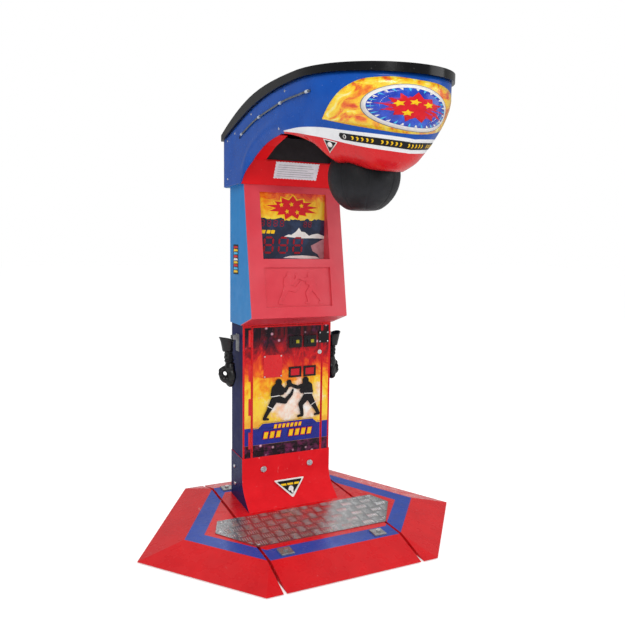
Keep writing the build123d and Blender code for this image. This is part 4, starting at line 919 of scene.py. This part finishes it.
def glove_fist(body, side, vinyl):
    """The padded part: soft lumps melted into one skin, puffed up a little, then creased."""
    lumps = [
        blob((side * 0.297, -0.024, 0.756), (0.024, 0.036, 0.050), -0.15),
        blob((side * 0.303, -0.014, 0.800), (0.026, 0.034, 0.036), 0.1, side * -0.25),
        blob((side * 0.328, 0.010, 0.789), (0.034, 0.017, 0.015), 0.0, side * 0.38),
        blob((side * 0.324, -0.002, 0.733), (0.037, 0.032, 0.021), 0.0, side * -0.52),
        blob((side * 0.347, 0.006, 0.762), (0.012, 0.022, 0.014), 0.0, side * -0.9),
        blob((side * 0.303, -0.014, 0.724), (0.024, 0.042, 0.031), 0.2),
        blob((side * 0.306, -0.006, 0.850), (0.025, 0.029, 0.052), 0.0, side * 0.10),
        blob((side * 0.312, -0.008, 0.905), (0.028, 0.031, 0.034)),
    ]
    points, faces = [], []
    for lump, quads in lumps:
        faces += [tuple(i + len(points) for i in face) for face in quads]
        points += lump
    glove = piece(f"{body}_vinyl", points, faces, vinyl, body, smooth=True)
    remesh = glove.modifiers.new("remesh", "REMESH")
    remesh.mode = "VOXEL"
    remesh.voxel_size = 0.0045
    relax = glove.modifiers.new("relax", "SMOOTH")
    relax.iterations = 4
    baked = bpy.data.meshes.new_from_object(glove.evaluated_get(bpy.context.evaluated_depsgraph_get()))
    glove.modifiers.clear()
    glove.data = baked
    puff(glove, 4.0, 20, PUFF_CAP)
    crease(glove, side * GLOVE_X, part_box(body))
    subdivide = glove.modifiers.new("subdivide", "SUBSURF")
    subdivide.levels = 1
    subdivide.render_levels = 1
    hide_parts(body)


def crease(glove, middle, limits):
    """Presses a seam, wrist folds and knuckle dents into the vinyl, held inside the CAD glove's box."""
    low, high = limits
    for vertex in glove.data.vertices:
        p = vertex.co
        pinch = 0.0018 * max(0.0, 1 - abs(p.y + 0.012) / 0.0035)
        wrist = 0.0045 * max(0.0, 1 - abs(p.z - 0.884) / 0.007)
        folds = 0.0032 * sin(300 * p.z + 90 * p.y) * max(0.0, 1 - abs(p.z - 0.838) / 0.055)
        knuckles = 0.0020 * max(0.0, sin(150 * (p.y + 0.05))) * max(0.0, 1 - abs(p.z - 0.738) / 0.03)
        inward = Vector((middle, GLOVE_Y, p.z)) - p
        inward.normalize()
        target = p + inward * (pinch + wrist + folds + knuckles)
        for axis in range(3):
            target[axis] = min(max(target[axis], low[axis] + 0.001), high[axis] - 0.001)
        vertex.co = target
    glove.data.polygons.foreach_set("use_smooth", [True] * len(glove.data.polygons))


def glove_cuff(body, side, vinyl, cuff_cloth):
    """The open cuff: it flares and tips outward, and its mouth has a bound edge."""
    middle = side * GLOVE_X
    profile = [(0.0255, 0.886), (0.0275, 0.892), (0.0295, 0.912), (0.0335, 0.936), (0.0375, 0.956),
               (0.0385, 0.960)]
    steps = 60
    cuff = []
    for k in range(steps):
        turn = 2 * pi * k / steps
        for r, z in profile:
            rise = (z - 0.880) / 0.08
            reach = r + 0.0022 * sin(4 * turn + 60 * z) * rise
            x = middle + side * (rise - 0.2) * 0.007 + reach * 0.98 * cos(turn)
            tip = 0.003 * sin(2 * turn) + side * 0.011 * cos(turn) - 0.008
            cuff.append(Vector((x, GLOVE_Y + reach * sin(turn), z + tip * rise)))
    rows = len(profile)
    faces = lattice(steps, rows, wrap=True)
    band = piece(f"{body}_cuff", cuff, faces, vinyl, body, smooth=True)
    thicken(band, 0.0022, 0.0)
    mouth = [cuff[rows * (k % steps) + rows - 1] for k in range(steps + 1)]
    tube_piece(f"{body}_cuff_binding", [mouth], 0.0024, 8, cuff_cloth, body)


def build_glove(side, vinyl, cuff_cloth, lace):
    """A hanging boxing glove: the fist curls outward below a slim wrist and an open, flared cuff."""
    body = "glove_left" if side < 0 else "glove_right"
    glove_fist(body, side, vinyl)
    glove_cuff(body, side, vinyl, cuff_cloth)
    laces = []
    for k in range(6):
        z = 0.834 + 0.010 * k
        for tilt in (-1, 1):
            start = Vector((side * 0.306 - 0.012, -0.0375, z - tilt * 0.004))
            end = Vector((side * 0.306 + 0.012, -0.0375, z + tilt * 0.004))
            laces.append([start, (start + end) / 2 + Vector((0, -0.002, 0)), end])
    tube_piece(f"{body}_laces", laces, 0.0013, 6, lace, body)
    centre = Vector((side * (GLOVE_X - 0.030), GLOVE_Y, 0.946))
    loop = [centre + Vector((0, 0.016 * cos(t), 0.018 * sin(t))) for t in np.linspace(0, pi, 15)]
    tube_piece(f"{body}_hanging_loop", [loop], 0.0024, 8, cuff_cloth, body)


def tube(points, faces, path, radius, sides=6):
    """Adds a round tube along a path to a mesh being built."""
    base = len(points)
    for k, p in enumerate(path):
        along = (path[min(k + 1, len(path) - 1)] - path[max(k - 1, 0)]).normalized()
        first = along.orthogonal().normalized()
        if k:
            first = (last - along * last.dot(along)).normalized()
        last = first
        second = along.cross(first)
        for s in range(sides):
            turn = 2 * pi * s / sides
            points.append(p + first * radius * cos(turn) + second * radius * sin(turn))
    for k in range(len(path) - 1):
        for s in range(sides):
            t = (s + 1) % sides
            a, b = base + k * sides, base + (k + 1) * sides
            faces.append((a + s, a + t, b + t, b + s))
    faces.append(tuple(range(base + sides - 1, base - 1, -1)))
    end = base + (len(path) - 1) * sides
    faces.append(tuple(range(end, end + sides)))


def tube_piece(name, paths, radius, sides, material, body="root", smooth=True):
    """One mesh of round tubes along the given paths."""
    points, faces = [], []
    for path in paths:
        tube(points, faces, path, radius, sides)
    return piece(name, points, faces, material, body, smooth)


def build_tread(aluminium):
    """The raised bars of the tread plate: groups of five, each group crossing its neighbours."""
    low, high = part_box("tread_plate")
    corners = [(-0.346, -0.568), (0.346, -0.568), (0.490, -0.364), (0.445, -0.243), (-0.445, -0.243),
               (-0.490, -0.364)]
    cell, bar, wide, tall = 0.058, 0.046, 0.0064, 0.0020
    points, faces = [], []

    def inside(x, y, margin=0.004):
        """True on the plate, clear of its edges."""
        for (ax, ay), (bx, by) in zip(corners, corners[1:] + corners[:1]):
            length = hypot(bx - ax, by - ay)
            if ((bx - ax) * (y - ay) - (by - ay) * (x - ax)) / length < margin:
                return False
        return True

    def shortened(ax, ay, bx, by):
        """The part of a bar's centre line that lies on the plate."""
        kept = [k / 16 for k in range(17) if inside(ax + (bx - ax) * k / 16, ay + (by - ay) * k / 16)]
        return (kept[0], kept[-1]) if len(kept) > 5 else None

    def add_bar(ax, ay, bx, by):
        """A low rounded bar with pointed ends, if enough of it is on the plate."""
        kept = shortened(ax, ay, bx, by)
        if not kept:
            return
        start, end = (Vector((ax + (bx - ax) * share, ay + (by - ay) * share, high.z)) for share in kept)
        along = (end - start).normalized()
        side = Vector((-along.y, along.x, 0))
        base = len(points)
        for t, w in ((0, 0), (0.12, 0.8), (0.5, 1), (0.88, 0.8), (1, 0)):
            p = start + (end - start) * t
            crown = Vector((0, 0, tall * (1 - abs(2 * t - 1) ** 3)))
            points.extend([p - side * w * wide / 2, p - side * w * wide / 4 + crown,
                           p + side * w * wide / 4 + crown, p + side * w * wide / 2])
        for c in range(4):
            for a in range(base + c * 4, base + c * 4 + 3):
                faces.append((a, a + 4, a + 5, a + 1))

    for i in range(-9, 9):
        for j in range(6):
            cx, cy = (i + 0.5) * cell, low.y + (j + 0.5) * cell
            for k in range(5):
                offset = (k - 2) * cell / 5
                if (i + j) % 2:
                    add_bar(cx - bar / 2, cy + offset, cx + bar / 2, cy + offset)
                else:
                    add_bar(cx + offset, cy - bar / 2, cx + offset, cy + bar / 2)
    piece("tread_bars", points, faces, aluminium, smooth=True)


def build_strips(tube_look, clip_look, lead_look):
    """The two lit tubes along the hood's shoulders, each with four clips and a short lead."""
    for side, name in ((-1, "left"), (1, "right")):
        path = []
        for y in np.linspace(-0.155, -0.895, 60):
            station = side * (1 + (y - NOSE_Y) / STATION)
            if y < NOSE_Y:
                station = side * (1 - (NOSE_Y - y) / NOSE)
            path.append(hull(station, strip(y) - 0.006, 0.0052))
        light = tube_piece(f"light_strip_{name}", [path], 0.0042, 10, tube_look)
        if side < 0:
            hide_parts("light_strips")
        for k, index in enumerate((1, 20, 40, 58)):
            p, along = path[index], (path[index + 1] - path[index - 1]).normalized()
            ends = [p + along * shift for shift in (-0.008, -0.006, 0.006, 0.008)]
            clip = f"strip_clip_{name}_{k}"
            tube_piece(clip, [ends], 0.0062, 12, clip_look, smooth=False)
        shifts = [(0, 0, 0), (0, 0.016, -0.004), (-side * 0.004, 0.030, -0.012)]
        lead = [path[0] + Vector(shift) for shift in shifts]
        tube_piece(f"strip_lead_{name}", [lead], 0.0022, 8, lead_look)


# ---- printed and raised graphics ----

def sign_part(x, y, *rest):
    """A disc from (x, y, radius), or a limb from (x, y, x, y, radius, radius)."""
    return limb((x, y), rest[:2], *rest[2:]) if len(rest) > 1 else disc((x, y), *rest)


def boxer(kick):
    """A plain boxer pictogram, one unit tall, facing +x: kicking, or standing with a straight punch."""
    trunk = [(0.05, 0.89, 0.085), (0.03, 0.74, -0.03, 0.53, 0.135, 0.105),
             (0.04, 0.82, 0.03, 0.76, 0.050, 0.060)]
    rear_leg = [(-0.04, 0.50, -0.17, 0.28, 0.092, 0.066), (-0.17, 0.28, -0.30, 0.06, 0.060, 0.042),
                (-0.31, 0.035, -0.21, 0.020, 0.036, 0.024)]
    if kick:
        front = [(0.00, 0.50, 0.22, 0.42, 0.092, 0.066), (0.22, 0.42, 0.38, 0.58, 0.058, 0.042),
                 (0.39, 0.60, 0.42, 0.68, 0.036, 0.026), (0.08, 0.78, 0.22, 0.67, 0.056, 0.046),
                 (0.22, 0.67, 0.31, 0.82, 0.044, 0.040), (0.32, 0.87, 0.066)]
    else:
        front = [(0.01, 0.50, 0.17, 0.31, 0.092, 0.066), (0.17, 0.31, 0.13, 0.06, 0.058, 0.042),
                 (0.13, 0.035, 0.24, 0.020, 0.036, 0.024), (0.08, 0.77, 0.26, 0.73, 0.056, 0.046),
                 (0.26, 0.73, 0.42, 0.80, 0.044, 0.040), (0.47, 0.82, 0.068)]
    rear_arm = [(-0.07, 0.76, -0.11, 0.60, 0.058, 0.046), (-0.11, 0.60, 0.10, 0.63, 0.044, 0.040),
                (0.14, 0.64, 0.064)]
    return [sign_part(*part) for part in trunk + rear_leg + front + rear_arm]


def match(centre, height, kicker, puncher):
    """Two figures facing one another, each given as its outlines."""
    shapes = []
    for flip, figure in ((1, kicker), (-1, puncher)):
        foot = (centre[0] - flip * 0.40 * height, centre[1])
        shapes += [moved(outline, foot, height, flip) for outline in figure]
    return shapes


def rounded(corners, radius, steps=5):
    """A polygon with its corners rounded."""
    outline = []
    for k, b in enumerate(corners):
        a, c = corners[k - 1], corners[(k + 1) % len(corners)]
        la, lc = hypot(a[0] - b[0], a[1] - b[1]), hypot(c[0] - b[0], c[1] - b[1])
        p = (b[0] + (a[0] - b[0]) * radius / la, b[1] + (a[1] - b[1]) * radius / la)
        q = (b[0] + (c[0] - b[0]) * radius / lc, b[1] + (c[1] - b[1]) * radius / lc)
        for s in range(steps + 1):
            t = s / steps
            x = (1 - t) ** 2 * p[0] + 2 * t * (1 - t) * b[0] + t * t * q[0]
            y = (1 - t) ** 2 * p[1] + 2 * t * (1 - t) * b[1] + t * t * q[1]
            outline.append((x, y))
    return outline


def lay_rows(prefix, at, looks, rows, body="root"):
    """Lays prints on one plane: rows of name, look, lift, depth and outlines."""
    for name, look, lift, depth, outlines in rows:
        lay(f"{prefix}_{name}", outlines, looks[look], at, depth, lift, body)


def badge(name, at, width, drop, looks):
    """A downward triangle with a pale border, a dark field and a generic glove mark."""
    def triangle(inset):
        side = width / 2 - inset * 1.9
        return [rounded([(-side, -inset), (0, -drop + inset * 2.1), (side, -inset)], width * 0.06)]

    def scaled(shapes):
        return [moved(shape, (0, 0), width) for shape in shapes]

    dashes = [[(-0.30, -0.13), (-0.14, -0.13), (-0.12, -0.19), (-0.27, -0.19)],
              [(-0.10, -0.13), (0.10, -0.13), (0.09, -0.19), (-0.09, -0.19)],
              [(0.14, -0.13), (0.30, -0.13), (0.27, -0.19), (0.12, -0.19)]]
    fist = [disc((0.0, -0.29), 0.075), disc((-0.055, -0.315), 0.042),
            limb((0.012, -0.33), (0.018, -0.40), 0.040, 0.034)]
    lay_rows(name, at, looks, [
        ("border", "white", HAIR, FILM, triangle(0)),
        ("field", "black", 0.0004, FILM, triangle(width * 0.045)),
        ("dashes", "yellow", 0.0008, FILM, scaled(dashes)),
        ("glove", "white", 0.0008, FILM, scaled(fist)),
    ])


def digit(at, height):
    """A seven-segment 8: strokes with pointed ends, leaning a little."""
    h, w, t = height, height * 0.60, height * 0.125
    bars = [((0, h), (w, h)), ((w, h / 2), (w, h)), ((w, 0), (w, h / 2)), ((0, 0), (w, 0)),
            ((0, 0), (0, h / 2)), ((0, h / 2), (0, h)), ((0, h / 2), (w, h / 2))]
    half, gap = t / 2, t * 0.42
    shapes = []
    for (ax, ay), (bx, by) in bars:
        dx, dy = (1, 0) if ay == by else (0, 1)
        ax, ay, bx, by = ax + dx * gap, ay + dy * gap, bx - dx * gap, by - dy * gap
        ring = [(ax, ay), (ax + dx * half + dy * half, ay + dy * half - dx * half),
                (bx - dx * half + dy * half, by - dy * half - dx * half), (bx, by),
                (bx - dx * half - dy * half, by - dy * half + dx * half),
                (ax + dx * half - dy * half, ay + dy * half + dx * half)]
        shapes.append([(at[0] + x + 0.08 * y, at[1] + y) for x, y in ring])
    return shapes


# ---- where the graphics go ----

FRONT = (1, 0, 0)
UP = (0, 0, 1)


def door_marks():
    """Two rows of slanted marks, and a slightly larger shape behind each."""
    marks, backs = [], []
    for row, (z, tall, wide, count) in enumerate(((0.463, 0.020, 0.017, 7), (0.412, 0.034, 0.026, 8))):
        for k in range(count):
            if row and k == 3:
                continue
            x = (k - (count - 1) / 2) * wide * 1.42
            mark = [(x - wide / 2, z), (x + wide * 0.36, z)]
            mark += [(x + wide * 0.64, z + tall), (x - wide * 0.22, z + tall)]
            marks.append(mark)
            mx, mz = x + 0.05 * wide, z + tall / 2
            backs.append([(mx + (p[0] - mx) * 1.24, mz + (p[1] - mz) * 1.22) for p in mark])
    return marks, backs


def print_door(looks):
    """The dark band's crest and edge line, its marks and the boxers on the coin door."""
    at = ((0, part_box("coin_door")[0].y, 0), FRONT, UP)
    crest = rounded([(-0.170, 0.470), (0.176, 0.470), (0.150, 0.498), (-0.146, 0.498)], 0.006)
    marks, backs = door_marks()
    edge = [(-0.198, 0.472), (-0.172, 0.472), (-0.148, 0.496), (0.152, 0.496), (0.178, 0.472), (0.198, 0.472)]
    waist = [(-0.145, 0.545), (0.085, 0.560), (0.085, 0.578), (-0.145, 0.563)]
    hem = [(-0.235, 0.330), (-0.100, 0.255), (-0.092, 0.268), (-0.227, 0.343)]
    place, height = (0.025, 0.512), 0.228
    lay_rows("door", at, looks, [
        ("band_crest", "violet", HAIR, FILM, [crest]),
        ("mark_backs", "red", 0.0008, FILM, backs),
        ("marks", "yellow", 0.0014, THIN, marks),
        ("band_line", "yellow", 0.0006, FILM, [limb(p, q, 0.0014, 0.0014) for p, q in zip(edge, edge[1:])]),
        ("boxers", "black", 0.0006, THIN, match(place, height, boxer(True), boxer(False))),
        ("boxer_trunks", "white", 0.0018, THIN, match(place, height, [waist, hem], [waist, hem])),
    ], "coin_door")


def print_display(looks):
    """The window's burst, peaks and digits."""
    at = ((0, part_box("display_panel")[0].y, 0), FRONT, UP)
    spots = [(-0.062, 1.656), (-0.005, 1.660), (0.052, 1.654), (-0.030, 1.622), (0.028, 1.620)]
    stars = [star(spot, 5, 0.0135, 0.0062, 1.0, pi / 2 + 0.2, 0.0) for spot in spots]
    peaks = [(-0.045, 1.494), (-0.020, 1.505), (-0.004, 1.503), (0.022, 1.520), (0.040, 1.541),
             (0.052, 1.522), (0.075, 1.518), (0.098, 1.500), (0.120, 1.508), (0.150, 1.512),
             (0.187, 1.500), (0.187, 1.486), (0.120, 1.488), (0.050, 1.486)]
    shard = [(0.110, 1.448), (0.187, 1.486), (0.187, 1.379), (0.166, 1.379), (0.150, 1.404), (0.120, 1.420)]
    foot = [(-0.050, 1.384), (-0.010, 1.394), (0.060, 1.397), (0.140, 1.392), (0.166, 1.380), (0.060, 1.380)]
    big = [shape for k in range(3) for shape in digit((-0.158 + 0.082 * k, 1.410), 0.078)]
    small = [shape for k in range(4) for shape in digit((-0.176 + 0.036 * k, 1.546), 0.030)]
    small += [shape for k in range(2) for shape in digit((0.066 + 0.026 * k, 1.546), 0.026)]
    slant = [(0, 1.508), (0.020, 1.508), (0.024, 1.526), (0.004, 1.526)]
    dashes = [rounded(moved(slant, (x, 0)), 0.003) for x in (-0.172, -0.144, -0.120)]
    lay_rows("display", at, looks, [
        ("burst_glow", "yellow", HAIR, FILM, [star((0.0, 1.642), 13, 0.166, 0.108, 0.42, 0.1)]),
        ("burst", "red", 0.0004, FILM, [star((0.0, 1.642), 13, 0.152, 0.092, 0.42, 0.1)]),
        ("stars", "yellow", 0.0008, FILM, stars),
        ("peaks", "white", HAIR, FILM, [peaks]),
        ("shard", "pale_red", HAIR, FILM, [shard]),
        ("foot", "white", HAIR, FILM, [foot]),
        ("big_digits", "led", 0.0008, FILM, big),
        ("small_digits", "led", 0.0008, FILM, small),
        ("marks", "yellow", 0.0004, FILM, dashes),
    ])


def on_front(node, low, high, x=0.0):
    """The plane through a node's front at two heights: its origin is at the lower one."""
    tree = BVHTree.FromObject(NODES[node], bpy.context.evaluated_depsgraph_get())
    ends = [tree.ray_cast(Vector((x, -2.0, z)), Vector((0, 1, 0)))[0] for z in (low, high)]
    return (ends[0], FRONT, (ends[1] - ends[0]).normalized())


def emboss_recess(looks):
    """Low relief of two boxers in the fascia's lower recess."""
    at = on_front("fascia", 1.152, 1.320, 0.01)
    shapes = match((0.0, 0.0), 0.168, boxer(True), boxer(False))
    relief = lay("recess_relief", shapes, looks["fascia"], at, depth=0.0040)
    bevel = relief.modifiers.new("bevel", "BEVEL")
    bevel.width = 0.0009
    bevel.segments = 2


def print_neck(looks):
    """The rules card on the neck: scalloped edge and ruled lines."""
    at = on_front("neck_panel", 1.784, 1.862)
    half, tall, notch = 0.121, 0.090, 0.003
    run = [(-half + 2 * half * k / 30, 0.0 if k % 2 else notch) for k in range(31)]
    rise = [(half - (notch if k % 2 else 0), 0.004 + (tall - 0.008) * k / 10) for k in range(11)]
    back = [(half - 2 * half * k / 30, tall - (notch if k % 2 else 0)) for k in range(31)]
    fall = [(-half + (notch if k % 2 else 0), tall - 0.004 - (tall - 0.008) * k / 10) for k in range(11)]
    lines = []
    for k, end in enumerate((0.100, 0.086, 0.096, 0.060, 0.092, 0.078)):
        z = 0.014 + 0.0115 * k
        lines.append([(-0.104, z), (end, z), (end, z + 0.0016), (-0.104, z + 0.0016)])
    lay_rows("rules", at, looks, [
        ("card", "card", HAIR, FILM, [run + rise + back + fall]),
        ("lines", "grey", 0.0004, FILM, lines),
    ])


def stickers(looks):
    """The boot badge and the narrow strip on the cabinet's side."""
    origin, across, up = on_front("column_boot", 0.090, 0.188, 0.008)
    badge("boot_badge", (origin + up * 0.099, across, up), 0.184, 0.106, looks)
    side = ((-0.2672, 0, 0), (0, -1, 0), UP)
    strip_outline = rounded([(-0.035, 1.295), (0.047, 1.295), (0.047, 1.450), (-0.035, 1.450)], 0.004)
    lay("side_strip", [strip_outline], looks["black"], side)
    mark = [(-0.027, 0), (0.038, 0.002), (0.034, 0.011), (-0.022, 0.013)]
    codes = ["yellow", "cyan", "red", "yellow", "white", "red", "cyan", "yellow", "red"]
    lay_rows("side_strip_mark", side, looks, [
        (k, code, 0.0004, FILM, [moved(mark, (0, 1.303 + 0.0158 * k))]) for k, code in enumerate(codes)
    ])


def hood_badge(looks):
    """The three-cornered badge on the jaw's left, with a plain round mark."""
    corners = [(-0.845, 1.858), (-0.725, 1.838), (-0.838, 1.806)]
    middle = centroid(corners)
    for name, share, look, lift in (("border", 1.0, "white", 0.0008), ("field", 0.80, "black", 0.0013)):
        hood_spot(f"jaw_badge_{name}", shrunk(corners, middle, share), middle, looks[look], lift, 3)
    hood_spot("jaw_badge_glove", disc(middle, 0.022, 0.42), middle, looks["white"], 0.0018, 2)


# ---- looks for every node ----

looks = {
    "white": ink("ink_white", "F4F2EE", "DCD9D4"),
    "black": ink("ink_black", "131315", "242224"),
    "grey": ink("ink_grey", "8A8C90", "75767A"),
    "yellow": ink("ink_yellow", "FFD21F", "F2B411"),
    "red": ink("ink_red", "E3202B", "C3131F"),
    "cyan": ink("ink_cyan", "58C5F0", "2E9FE0"),
    "violet": ink("ink_violet", "26309A", "1C2478"),
    "card": ink("ink_card", "F3F1F6", "DEDCE6", 0.5),
    "pale_red": ink("ink_pale_red", "C9949B", "AE7078"),
    "flame": flame_film(),
    "oval": oval_film(),
    "led": ink("ink_led_red", "A51728", "8A1020", 0.25),
    "fascia": satin_shell("fascia_gelcoat", "E23A49", "D42C3E"),
}
base_red = base_paint()
gloss_red = gloss_paint("frame_enamel_red", "E01B22", "C60F1B")
navy = gloss_paint("column_enamel_navy", "1C2257", "161B47", 0.30, shine=0.03, coat=0.0)
cabinet_blue = gloss_paint("cabinet_enamel_blue", "2186CC", "1B77BC", 0.3, shine=0.2, coat=0.0)
hood_blue = gloss_paint("hood_gelcoat_blue", "1153B2", "0D4098", 0.18, shine=0.15)
hood_white = gloss_paint("hood_gelcoat_white", "F3F4F6", "E2E5EA", 0.24)
hood_red = gloss_paint("hood_gelcoat_red", "E2181F", "C9101B", 0.22)
lid_black = gloss_paint("lid_gelcoat_black", "08080A", "111114", 0.14, "5A5A5E", shine=0.3)
neck_red = gloss_paint("neck_gelcoat_red", "F01A22", "DC131D", 0.28, shine=0.1, coat=0.0)
zinc = metal("zinc_plated_steel", "C9CCCF", 0.24)
frame_grey = gloss_paint("frame_primer_grey", "5D6165", "4B4F53", 0.5)
galvanised_look = galvanised()
anchor = metal("anchor_steel_dark", "3E4043", 0.50, (1, 1, 4), "24211E")
black_plastic = moulded("black_moulding", "17171A", "26262A")
red_plastic = moulded("red_moulding", "D0182A", "A51222", 0.3)
button_look = moulded("button_moulding", "B9B62C", "8E8A1C", 0.2, 900, 0.00003)
leather = hide("punch_leather", "131418", "2A2B31", 620, 0.00022, 0.40)
vinyl = hide("glove_vinyl_black", "09090A", "19191C", 800, 0.00014, 0.24, shine=0.5)
cuff = hide("glove_cuff_black", "161618", "303036", 1400, 0.00010, 0.55, 0.2)
thread = ink("waxed_thread", "3A3B40", "2A2B2E", 0.6)
lace = ink("glove_lace", "2B2B2E", "1D1D20", 0.7)
liner = moulded("liner_fabric_grey", "3A3336", "2B2628", 0.7, 300, 0.0002)
tread = tread_metal()
sleeve = moulded("cable_sleeve_black", "202022", "2E2E32", 0.5, 1200, 0.0001)
strip_tube = lit("strip_tube_smoked", "3B4452", 0.0, 0.2)
strip_clip = lit("strip_clip_clear", "C9D2DC", 0.02)
foam_look = foam()
board_look = board()
door_film = door_print()
display_film = display_print()

NODE_LOOKS = {
    base_red: ("base_cover_center", "wing_cover_left", "wing_cover_right"),
    boot_paint(): ("column_boot",),
    gloss_red: ("fixed_hinge_leaves", "hinge_pins", "blank_plate"),
    navy: ("column_casing",),
    door_film: ("coin_door", "column_front_frame"),
    cabinet_blue: ("cabinet_shell", "rear_service_door"),
    looks["fascia"]: ("fascia",),
    neck_red: ("neck_panel",),
    lid_black: ("hood_lid",),
    hood_blue: ("hood_shell",),
    liner: ("hood_liner",),
    display_film: ("display_panel",),
    board_look: ("score_display", "main_board"),
    tread: ("tread_plate",),
    anchor: ("glove_hangers", "anchor_plates",),
    rubber(): ("leveling_feet",),
    zinc: ("base_fasteners", "boot_bolts", "hood_screws", "door_screws", "door_lock_core", "door_lock_body",
           "service_lock_core", "service_lock_body", "pivot_shaft", "latch_plunger", "latch_hook"),
    galvanised_look: ("power_supply", "coin_box", "latch_solenoid"),
    frame_grey: ("base_frame_center", "wing_frames", "main_frame", "bearing_blocks"),
    black_plastic: ("coin_slot_bezels", "coin_mechs", "speaker", "door_hasp", "speed_sensor", "arm_bump_stop",
                    "coin_return_frames"),
    red_plastic: ("coin_return_flap_left", "coin_return_flap_right"),
    button_look: ("reject_button_left", "reject_button_right"),
    sleeve: ("wiring_harness", "punch_arm"),
    foam_look: ("ball_foam",),
    leather: ("ball_cover",),
    vinyl: ("glove_left", "glove_right"),
    strip_tube: ("light_strips",),
}


def dress_nodes():
    """Gives every slot of each CAD node its material."""
    for material, names in NODE_LOOKS.items():
        for name in names:
            node = NODES[name]
            if not node.material_slots:
                node.data.materials.append(material)
            for place in node.material_slots:
                place.link = "OBJECT"
                place.material = material


# ---- light, floor and camera ----

def area_light(name, at, aim, size, watts):
    """A round white lamp at one place, pointed at another."""
    light = bpy.data.lights.new(name, "AREA")
    light.shape = "DISK"
    light.size = size
    light.energy = watts
    obj = bpy.data.objects.new(name, light)
    bpy.context.scene.collection.objects.link(obj)
    obj.location = at
    obj.rotation_euler = (Vector(aim) - Vector(at)).to_track_quat("-Z", "Y").to_euler()


def build_floor():
    """A wide, nearly white floor that glows a little for the camera only."""
    look = Look("floor_paint")
    pale = look.mix(look.cloud((3, 4), 0.3, 0.7), "F7F7F7", "FBFBFB")
    seen = look.times(look.add("ShaderNodeLightPath").outputs["Is Camera Ray"], 0.45)
    material = look.finish(pale, 0.7, Emission_Color=pale, Emission_Strength=seen)
    mesh = bpy.data.meshes.new("stage_floor")
    half, z = 40, -0.001
    corners = [(-half, -half, z), (half, -half, z), (half, half, z), (-half, half, z)]
    mesh.from_pydata(corners, [], [(0, 1, 2, 3)])
    mesh.materials.append(material)
    floor = bpy.data.objects.new("stage_floor", mesh)
    bpy.context.scene.collection.objects.link(floor)


def build_sky():
    """A white surround: 0.66 bright as light, 0.30 in reflections, and 0.34 more to the camera."""
    world = bpy.data.worlds.new("studio")
    bpy.context.scene.world = world
    world.use_nodes = True
    tree = world.node_tree
    sky = tree.nodes["Background"]
    sky.inputs["Color"].default_value = (1.0, 1.0, 1.0, 1.0)
    path = tree.nodes.new("ShaderNodeLightPath")
    level = tree.nodes.new("ShaderNodeMapRange")
    level.inputs["To Min"].default_value = 0.66
    level.inputs["To Max"].default_value = 0.30
    tree.links.new(path.outputs["Is Glossy Ray"], level.inputs["Value"])
    seen = tree.nodes.new("ShaderNodeMath")
    seen.operation = "MULTIPLY_ADD"
    seen.inputs[1].default_value = 0.34
    tree.links.new(path.outputs["Is Camera Ray"], seen.inputs[0])
    tree.links.new(level.outputs["Result"], seen.inputs[2])
    tree.links.new(seen.outputs[0], sky.inputs["Strength"])


def build_stage():
    """Floor, surround and three lamps."""
    build_floor()
    build_sky()
    area_light("key", (-2.6, -4.2, 4.6), (0, -0.4, 1.1), 2.4, 110)
    area_light("fill", (3.6, -3.4, 2.6), (0, -0.3, 1.0), 3.0, 36)
    area_light("back", (1.5, 3.6, 3.6), (0, 0, 1.4), 2.4, 40)
    bpy.context.scene.view_settings.view_transform = "Standard"


def build_camera():
    """The photograph's view: about chest height, from the front and the viewer's left."""
    yaw, pitch, roll = radians(24.11), radians(-6.89), radians(0.71)
    forward = Vector((sin(yaw) * cos(pitch), cos(yaw) * cos(pitch), sin(pitch)))
    level = Vector((cos(yaw), -sin(yaw), 0))
    upright = level.cross(forward)
    right = level * cos(roll) + upright * sin(roll)
    up = upright * cos(roll) - level * sin(roll)
    camera = bpy.data.cameras.new("camera")
    camera.sensor_width = 36
    camera.lens = 35.5104
    camera.shift_x = 0.02704
    camera.shift_y = 0.01152
    obj = bpy.data.objects.new("camera", camera)
    bpy.context.scene.collection.objects.link(obj)
    turn = Matrix((right, up, -forward)).transposed()
    obj.matrix_world = Matrix.Translation((-1.3065, -3.107, 1.450)) @ turn.to_4x4()
    bpy.context.scene.camera = obj


dress_nodes()
build_hood(hood_blue, hood_white, hood_red)
build_nose(looks)
build_strip_label(looks)
hood_badge(looks)
build_strips(strip_tube, strip_clip, sleeve)
build_ball(leather, thread)
for hand in (-1, 1):
    build_glove(hand, vinyl, cuff, lace)
build_tread(tread)
print_door(looks)
print_display(looks)
emboss_recess(looks)
print_neck(looks)
stickers(looks)
build_stage()
build_camera()
